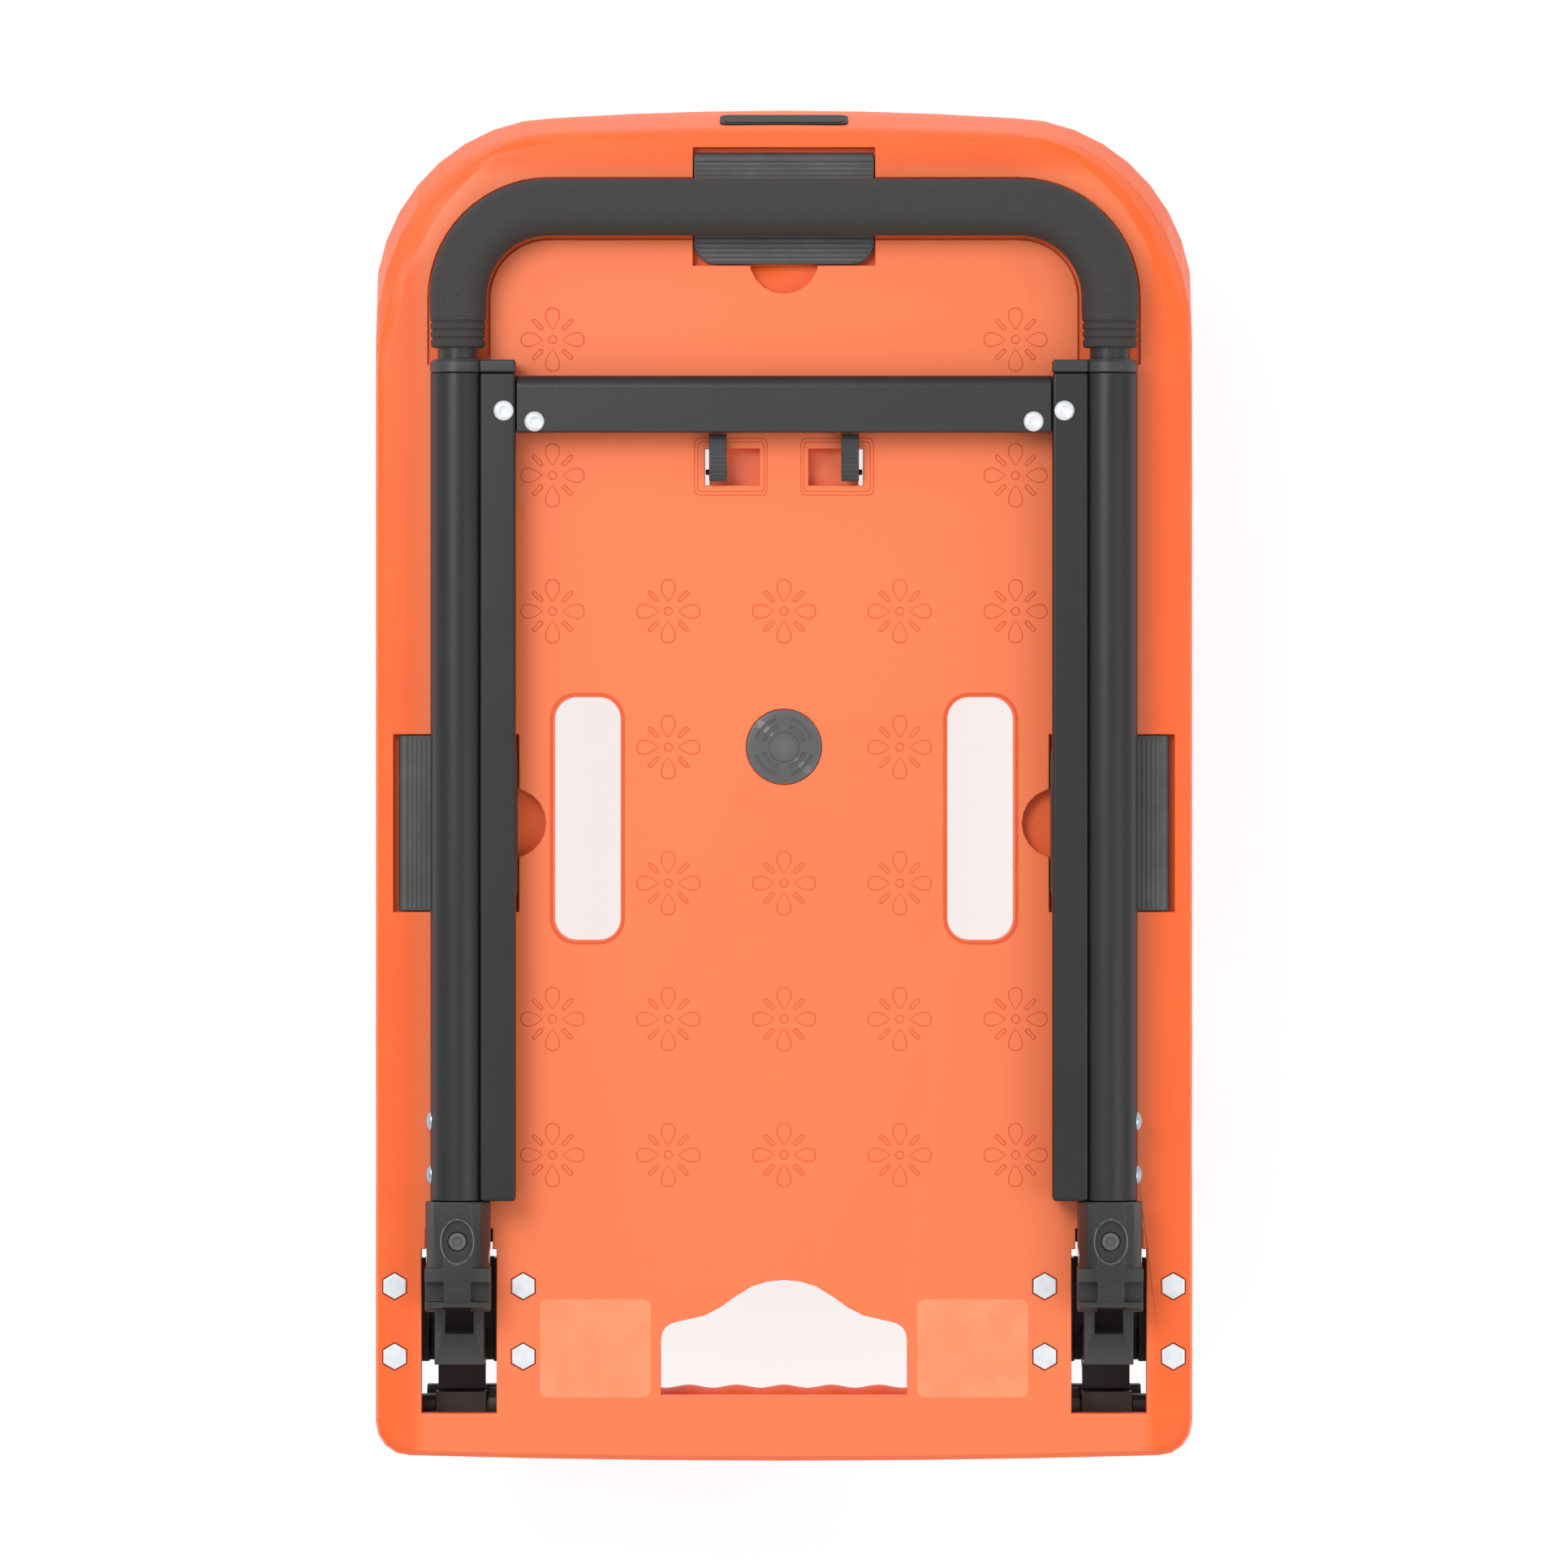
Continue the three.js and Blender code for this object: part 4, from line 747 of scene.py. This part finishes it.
def castorParts(end):
    for word, side in (("right", 1), ("left", -1)):
        low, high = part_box(f"{end}_tyre_{word}")
        at = Matrix.Translation((low + high) / 2)
        kinds = (("tyre", tyre, "rubber"), ("hub", hub, "orange"), ("axle", axlePin, "zinc"))
        for kind, build, finish in kinds:
            mesh = bmesh.new()
            stamp(mesh, build, at)
            node = f"{end}_{kind}_{word}"
            finishPiece(mesh, f"{end}_{kind}_piece_{word}", bodyOf(node), finish, [node], 40)
        mesh = bmesh.new()
        stamp(mesh, fork, at @ flip(side), end == "rear")
        node = f"{end}_fork_{word}"
        finishPiece(mesh, f"{end}_fork_piece_{word}", bodyOf(node), "plastic", [node])
        refined(f"{end}_housing_{word}", f"{end}_housing_piece_{word}", "plastic", 1.0, 3)
        refined(f"{end}_mount_{word}", f"{end}_mount_piece_{word}", "coat", 0.7)


castorParts("front")
castorParts("rear")
for word in ("right", "left"):
    refined(f"link_bar_{word}", f"link_{word}", "coat", 0.7)


beamBolt = {"x": 14.4, "inset": 9.2, "radius": 6.5, "height": 3.2}


def beamBolts(mesh):
    for node in ("front_mount_right", "rear_mount_right"):
        low, high = (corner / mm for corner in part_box(node))
        x = low.x + beamBolt["x"]
        for y in (high.y - beamBolt["inset"], low.y + beamBolt["inset"]):
            for z, way in ((low.z, -1), (high.z, 1)):
                at = facing((x * mm, y * mm, z * mm), (0, 0, way))
                stamp(mesh, domeHead, at, beamBolt["radius"], beamBolt["height"])


bothSides("beam_bolts", "zinc", "beam_{}", beamBolts)
print("beams made")


# ---- deck ----
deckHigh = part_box("deck_shell")[1] / mm
deckTop = deckHigh.z
deckFront = deckHigh.y
tray = {"rim": 0.5, "sharp": 15}


# The tray keeps the solid's faces; the edges of its load face are rounded.
def deckTray(mesh):
    mesh.from_mesh(nodes["deck_shell"].data)
    bmesh.ops.remove_doubles(mesh, verts=mesh.verts, dist=weld)
    level = (deckTop - 0.01) * mm
    rims = [e for e in sharpEdges(mesh, 40) if all(v.co.z > level for v in e.verts)]
    bevelEdges(mesh, rims, tray["rim"] * mm, 2)


mesh = bmesh.new()
deckTray(mesh)
finishPiece(mesh, "deck_tray", "root", "deck", ["deck_shell"], tray["sharp"])

flower = {
    "x": (-126, -63, 0, 63, 126), "rows": (242, 168, 94, 20, -54, -128, -202),
    "shown": ((0, 4), (0, 4), (0, 1, 2, 3, 4), (1, 3), (1, 2, 3), (0, 1, 2, 3, 4), (0, 1, 2, 3, 4)),
    "petal": (5.2, 17.5, 4.1), "slot": (7.6, 15.4, 1.25), "eye": 2.5, "line": 0.6, "high": 0.14,
}


# A closed band: loops of points at their levels, in mm, joined one to the next and all round.
def band(mesh, loops):
    made = [[mesh.verts.new((x * mm, y * mm, z * mm)) for x, y in line] for line, z in loops]
    faces = []
    for first, second in zip(made, made[1:] + made[:1]):
        for i in range(len(first)):
            faces.append(mesh.faces.new((first[i - 1], first[i], second[i], second[i - 1])))
    bmesh.ops.recalc_face_normals(mesh, faces=faces)


# The outline drawn in towards the middle of its box.
def shrunk(outline, by):
    spans = [(min(values), max(values)) for values in zip(*outline)]
    middles = [(low + high) / 2 for low, high in spans]
    scales = [1 - 2 * by / (high - low) for low, high in spans]
    return [tuple(m + (value - m) * k for value, m, k in zip(point, middles, scales)) for point in outline]


# A thin raised line just inside an anticlockwise outline.
def bead(mesh, outline, line, high, foot=0.3):
    slope = min(0.2, line / 3)
    inner, innerTop = shrunk(outline, line), shrunk(outline, line - slope)
    top = deckTop + high
    band(mesh, [(outline, deckTop - foot), (outline, deckTop), (shrunk(outline, slope), top),
                (innerTop, top), (inner, deckTop), (inner, deckTop - foot)])


# A teardrop, round outside and running to a point at the inner end.
def petalOutline(steps=12):
    inner, outer, half = flower["petal"]
    points = []
    for i in range(steps * 2):
        turn = math.pi * (i / steps - 1)
        along = (1 + math.cos(turn)) / 2
        points.append((inner + (outer - inner) * along, 1.3 * half * math.sin(turn) * math.sqrt(along)))
    return points


def flowerLines(mesh):
    inner, outer, half = flower["slot"]
    straight = roundedOutline((inner, outer), (-half, half), half * 0.98, 3)
    line, high = flower["line"], flower["high"]
    for quarter in range(4):
        for outline, turn in ((petalOutline(), 90 * quarter), (straight, 90 * quarter + 45)):
            stamp(mesh, bead, Matrix.Rotation(math.radians(turn), 4, "Z"), outline, line, high)
    stamp(mesh, bead, Matrix(), arc((0, 0), flower["eye"], 0, 345, 11), line, high)


mesh = bmesh.new()
for y, shown in zip(flower["rows"], flower["shown"]):
    for column in shown:
        stamp(mesh, flowerLines, Matrix.Translation((flower["x"][column] * mm, y * mm, 0)))
finishPiece(mesh, "flower_lines", "root", "line", sharp=60, weighted=False)


window = {
    "frames": (((9, 49), (157, 188.4), 3), ((10.6, 47.2), (159, 186.4), 2)), "line": 0.5, "high": 0.14,
    "pocket": ((12.4, 40.6), (161.8, 183.4)), "depth": (13, 11.7),
}
slotRim = {"x": (88.2, 125.8), "y": (-85.8, 48.2), "radius": 12.8, "width": 1.5, "high": 0.35}
label = {"x": (72.5, 132.9), "y": (-334, -280.5), "radius": 4, "sunk": 0.3, "high": 0.12}


def windowFrame(mesh):
    for x, y, radius in window["frames"]:
        bead(mesh, roundedOutline(x, y, radius, 5), window["line"], window["high"])


def windowPocket(mesh):
    x, y = window["pocket"]
    low, high = window["depth"]
    cuboid(mesh, x, y, (deckTop - low, deckTop - high), 0.3, 1)


def openingRims(mesh):
    x, y, radius, wide = slotRim["x"], slotRim["y"], slotRim["radius"], slotRim["width"]
    outer = roundedOutline((x[0] - wide, x[1] + wide), (y[0] - wide, y[1] + wide), radius + wide, 10)
    inner = roundedOutline(x, y, radius, 10)
    top = deckTop + slotRim["high"]
    band(mesh, [(outer, deckTop - 1), (outer, deckTop + 0.1), (outer, top), (inner, top), (inner, deckTop - 1)])


def labelPatch(mesh):
    outline = roundedOutline(label["x"], label["y"], label["radius"], 6)
    plate(mesh, outline, deckTop - label["sunk"], deckTop + label["high"], 0)


bothSides("window_frame", "line", "root", windowFrame, sharp=60)
bothSides("window_pocket", "orange", "root", windowPocket)
bothSides("slot_rim", "line", "root", openingRims, sharp=40)
bothSides("label_patch", "label", "root", labelPatch)

bolts = {
    "x": (-35, 35), "y": (17.1, 55.4), "flats": 12.6, "head": 5.0, "sunk": 5.3,
    "nut": (13, 6.2, 3.9), "nutRise": 17,
}
nuts = {"at": ((105, 314.5), (railX, 59.5)), "level": 34.6, "size": (10, 5, 2.9)}
clamp = {"half": 8, "y": (-160, -143.5), "z": (30.5, 46.5), "nutY": -151.7, "nutZ": 30.6, "nut": (10, 4, 2.9)}
coverScrew = {"at": ((205, 219), (207, 38), (207, -143)), "radius": 4.6, "height": 2.2}
hingeY = (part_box("hinge_pin_right")[0].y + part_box("hinge_pin_right")[1].y) / 2 / mm
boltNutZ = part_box("hinge_bracket_right")[0].z / mm + bolts["nutRise"]
down = (0, 0, -1)


def deckBolts(mesh):
    for dx in bolts["x"]:
        for dy in bolts["y"]:
            x, y = (railX + dx) * mm, (hingeY - dy) * mm
            head = Matrix.Translation((x, y, (deckTop - bolts["sunk"]) * mm))
            stamp(mesh, hexHead, head, bolts["flats"], bolts["head"])
            stamp(mesh, hexNut, facing((x, y, boltNutZ * mm), down), *bolts["nut"])


def frameNuts(mesh):
    for x, y in nuts["at"]:
        stamp(mesh, hexNut, facing((x * mm, y * mm, nuts["level"] * mm), down), *nuts["size"])


def tubeClamp(mesh):
    cuboid(mesh, (railX - clamp["half"], railX + clamp["half"]), clamp["y"], clamp["z"], 1.6, 3)
    at = facing((railX * mm, clamp["nutY"] * mm, clamp["nutZ"] * mm), down)
    stamp(mesh, hexNut, at, *clamp["nut"])


def coverScrews(mesh):
    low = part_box("side_cover_right")[0].z
    for x, y in coverScrew["at"]:
        stamp(mesh, domeHead, facing((x * mm, y * mm, low), down), coverScrew["radius"], coverScrew["height"])


bothSides("deck_bolts", "bright", "root", deckBolts)
bothSides("frame_nuts", "zinc", "root", frameNuts)
bothSides("tube_clamp", "zinc", "root", tubeClamp)
bothSides("cover_screws", "zinc", "root", coverScrews)

cap = {"radius": 20.4, "boss": 7.9, "rings": ((10, 12.7), (14.2, 16.5)), "span": 64}


def centreCap(mesh):
    low, high = (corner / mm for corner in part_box("centre_cap"))
    top, radii = high.z, (0, cap["boss"], cap["boss"] + 0.5, 10, 12.7, 14.2, 16.5, 19.4, cap["radius"])
    drops = (0, 0, 0.5, 0.5, 0.5, 0.5, 0.5, 0.5, 1.1)
    profile = [(r, top - d) for r, d in zip(radii, drops)] + [(cap["radius"], top - 1.8), (0, top - 1.8)]
    turned(mesh, profile, 72)
    for inner, outer in cap["rings"]:
        for quarter in range(4):
            chosen = []
            for face in mesh.faces:
                middle = face.calc_center_median() / mm
                turn = (math.degrees(math.atan2(middle.y, middle.x)) - 90 * quarter - 45) % 360
                inside = inner < math.hypot(middle.x, middle.y) < outer and middle.z > top - 1
                if inside and min(turn, 360 - turn) < cap["span"] / 2:
                    chosen.append(face)
            bmesh.ops.inset_region(mesh, faces=chosen, thickness=0.25 * mm, depth=0, use_even_offset=True)
            bmesh.ops.inset_region(mesh, faces=chosen, thickness=0.1 * mm, depth=-0.7 * mm,
                                   use_even_offset=True)
    middle = (low + high) / 2
    bmesh.ops.translate(mesh, vec=(middle.x * mm, middle.y * mm, 0), verts=mesh.verts)


mesh = bmesh.new()
centreCap(mesh)
finishPiece(mesh, "cap_disc", "root", "cap", ["centre_cap"])

flap = {
    "pitch": 2.6, "rib": 0.2, "ribWide": 0.64, "margin": 1.2, "barrel": 4, "thick": 6, "corner": 12,
    "pin": 1.9, "pinReach": 2.5, "endGap": 2.6,
}


# A stop flap with its barrel along X at the origin, reaching towards -Y, ribbed along its length.
def ribbedFlap(mesh, half, reach):
    top, corner, pin = flap["barrel"], flap["corner"], flap["pin"]
    ribHalf, pinEnd = flap["pitch"] * flap["ribWide"] / 2, half + flap["pinReach"]
    outline = arc((half - corner, corner - reach), corner, 0, -90, 8)
    outline += [(-x, y) for x, y in outline[::-1]]
    plate(mesh, [(half, 0)] + outline + [(-half, 0)], top - flap["thick"], top - flap["rib"] - 0.1, 0.5)
    for i in range(int((reach - 2) / flap["pitch"])):
        y = -flap["margin"] - (i + 0.5) * flap["pitch"]
        into = max(0, corner - (y + reach))
        short = corner - math.sqrt(max(0, corner ** 2 - into ** 2)) if into else 0
        wide = half - flap["margin"] - short
        cuboid(mesh, (-wide, wide), (y - ribHalf, y + ribHalf), (top - 1, top), 0.28, 1)
    profile = [(0, -half), (3.6, -half), (4, -half + 0.4), (4, half - 0.4), (3.6, half), (0, half)]
    along = Matrix.Rotation(math.pi / 2, 4, "Y")
    stamp(mesh, turned, along, profile, 28)
    stamp(mesh, turned, along, [(0, -pinEnd), (pin, -pinEnd), (pin, pinEnd), (0, pinEnd)], 16)


def flapPiece(node, name, turn):
    low, high = (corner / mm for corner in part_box(node))
    size = high - low
    across, reach = (size.x, size.y) if turn == 0 else (size.y, size.x)
    barrel = flap["barrel"]
    pivots = {0: (0, high.y - barrel), -90: (high.x - barrel, (low.y + high.y) / 2),
              90: (low.x + barrel, (low.y + high.y) / 2)}
    x, y = pivots[turn]
    place = Matrix.Translation((x * mm, y * mm, (high.z - barrel) * mm))
    at = place @ Matrix.Rotation(math.radians(turn), 4, "Z")
    mesh = bmesh.new()
    stamp(mesh, ribbedFlap, at, across / 2 - flap["endGap"], reach - barrel)
    finishPiece(mesh, name, bodyOf(node), "flap", [node])


flapPiece("front_flap", "flap_front", 0)
flapPiece("side_flap_right", "flap_right", -90)
flapPiece("side_flap_left", "flap_left", 90)

badge = {"x": 35, "z": (37, 60), "thick": 1.4, "border": 2.5, "raised": 0.4, "inset": 7.9, "slope": (7.5, 26.7)}


# A blank badge that lies on the slope of the front skirt.
def badgePlate(mesh):
    low, high = badge["z"]
    x, y, border = badge["x"], (high - low) / 2, badge["border"]
    plate(mesh, roundedOutline((-x, x), (-y, y), 5, 8), 0, badge["thick"], 0.5)
    inner = roundedOutline((border - x, x - border), (border - y, y - border), 3.5, 8)
    plate(mesh, inner, 0, badge["thick"] + badge["raised"], 0.3)


mesh = bmesh.new()
slope = math.atan2(*badge["slope"])
front = Matrix.Translation((0, (deckFront - badge["inset"]) * mm, sum(badge["z"]) / 2 * mm))
lean = Matrix.Rotation(slope - math.pi / 2, 4, "X") @ Matrix.Rotation(math.pi, 4, "Z")
stamp(mesh, badgePlate, front @ lean)
finishPiece(mesh, "blank_badge", "root", "badge")
print("deck made")


# ---- stage ----
view = {"lens": 250, "distance": 6.0, "farthest": 50, "sky": 0.72}
# Place, size and power.
lamps = {
    "keyLight": ((-0.9, 0.9, 2.2), 1.2, 26),
    "fillLight": ((1.4, -0.6, 1.8), 1.6, 9),
    "underLight": ((0.3, -0.4, -2.2), 2.0, 16),
}
ground = {"level": -0.1265, "size": 30, "glow": 0.72}


def stageFloor():
    mesh = bmesh.new()
    level = Matrix.Translation((0, 0, ground["level"]))
    bmesh.ops.create_grid(mesh, x_segments=1, y_segments=1, size=ground["size"], matrix=level)
    data = bpy.data.meshes.new("floor")
    mesh.to_mesh(data)
    mesh.free()
    floor = bpy.data.objects.new("floor", data)
    bpy.context.scene.collection.objects.link(floor)
    finish = Finish("paleFloor")
    finish.surface(Base_Color=shade(170, 170, 170), Roughness=0.9, Specular_IOR_Level=0.1,
                   Emission_Color=(1, 1, 1, 1), Emission_Strength=ground["glow"])
    clear = finish.node("ShaderNodeBsdfTransparent")
    behind = finish.node("ShaderNodeNewGeometry").outputs["Backfacing"]
    solid = finish.shader.outputs[0]
    mix = finish.node("ShaderNodeMixShader", None, {0: behind, 1: solid, 2: clear.outputs[0]})
    output = finish.tree.nodes["Material Output"]
    finish.feed(output.inputs["Surface"], mix.outputs[0])
    data.materials.append(finish.material)


def softLight(name, at, size, power):
    light = bpy.data.lights.new(name, "AREA")
    light.shape = "DISK"
    light.size = size
    light.energy = power
    lamp = bpy.data.objects.new(name, light)
    lamp.location = at
    lamp.rotation_euler = (-Vector(at)).to_track_quat("-Z", "Y").to_euler()
    bpy.context.scene.collection.objects.link(lamp)


stageFloor()
for name, (at, size, power) in lamps.items():
    softLight(name, at, size, power)
world = bpy.data.worlds.new("sky")
world.use_nodes = True
background = world.node_tree.nodes["Background"]
background.inputs["Color"].default_value = (1, 1, 1, 1)
background.inputs["Strength"].default_value = view["sky"]
bpy.context.scene.world = world
bpy.context.scene.view_settings.view_transform = "Standard"

camera = bpy.data.objects.new("camera", bpy.data.cameras.new("camera"))
camera.data.lens = view["lens"]
camera.data.clip_end = view["farthest"]
camera.location = (0, 0, view["distance"])
bpy.context.scene.collection.objects.link(camera)
bpy.context.scene.camera = camera
print("stage made")
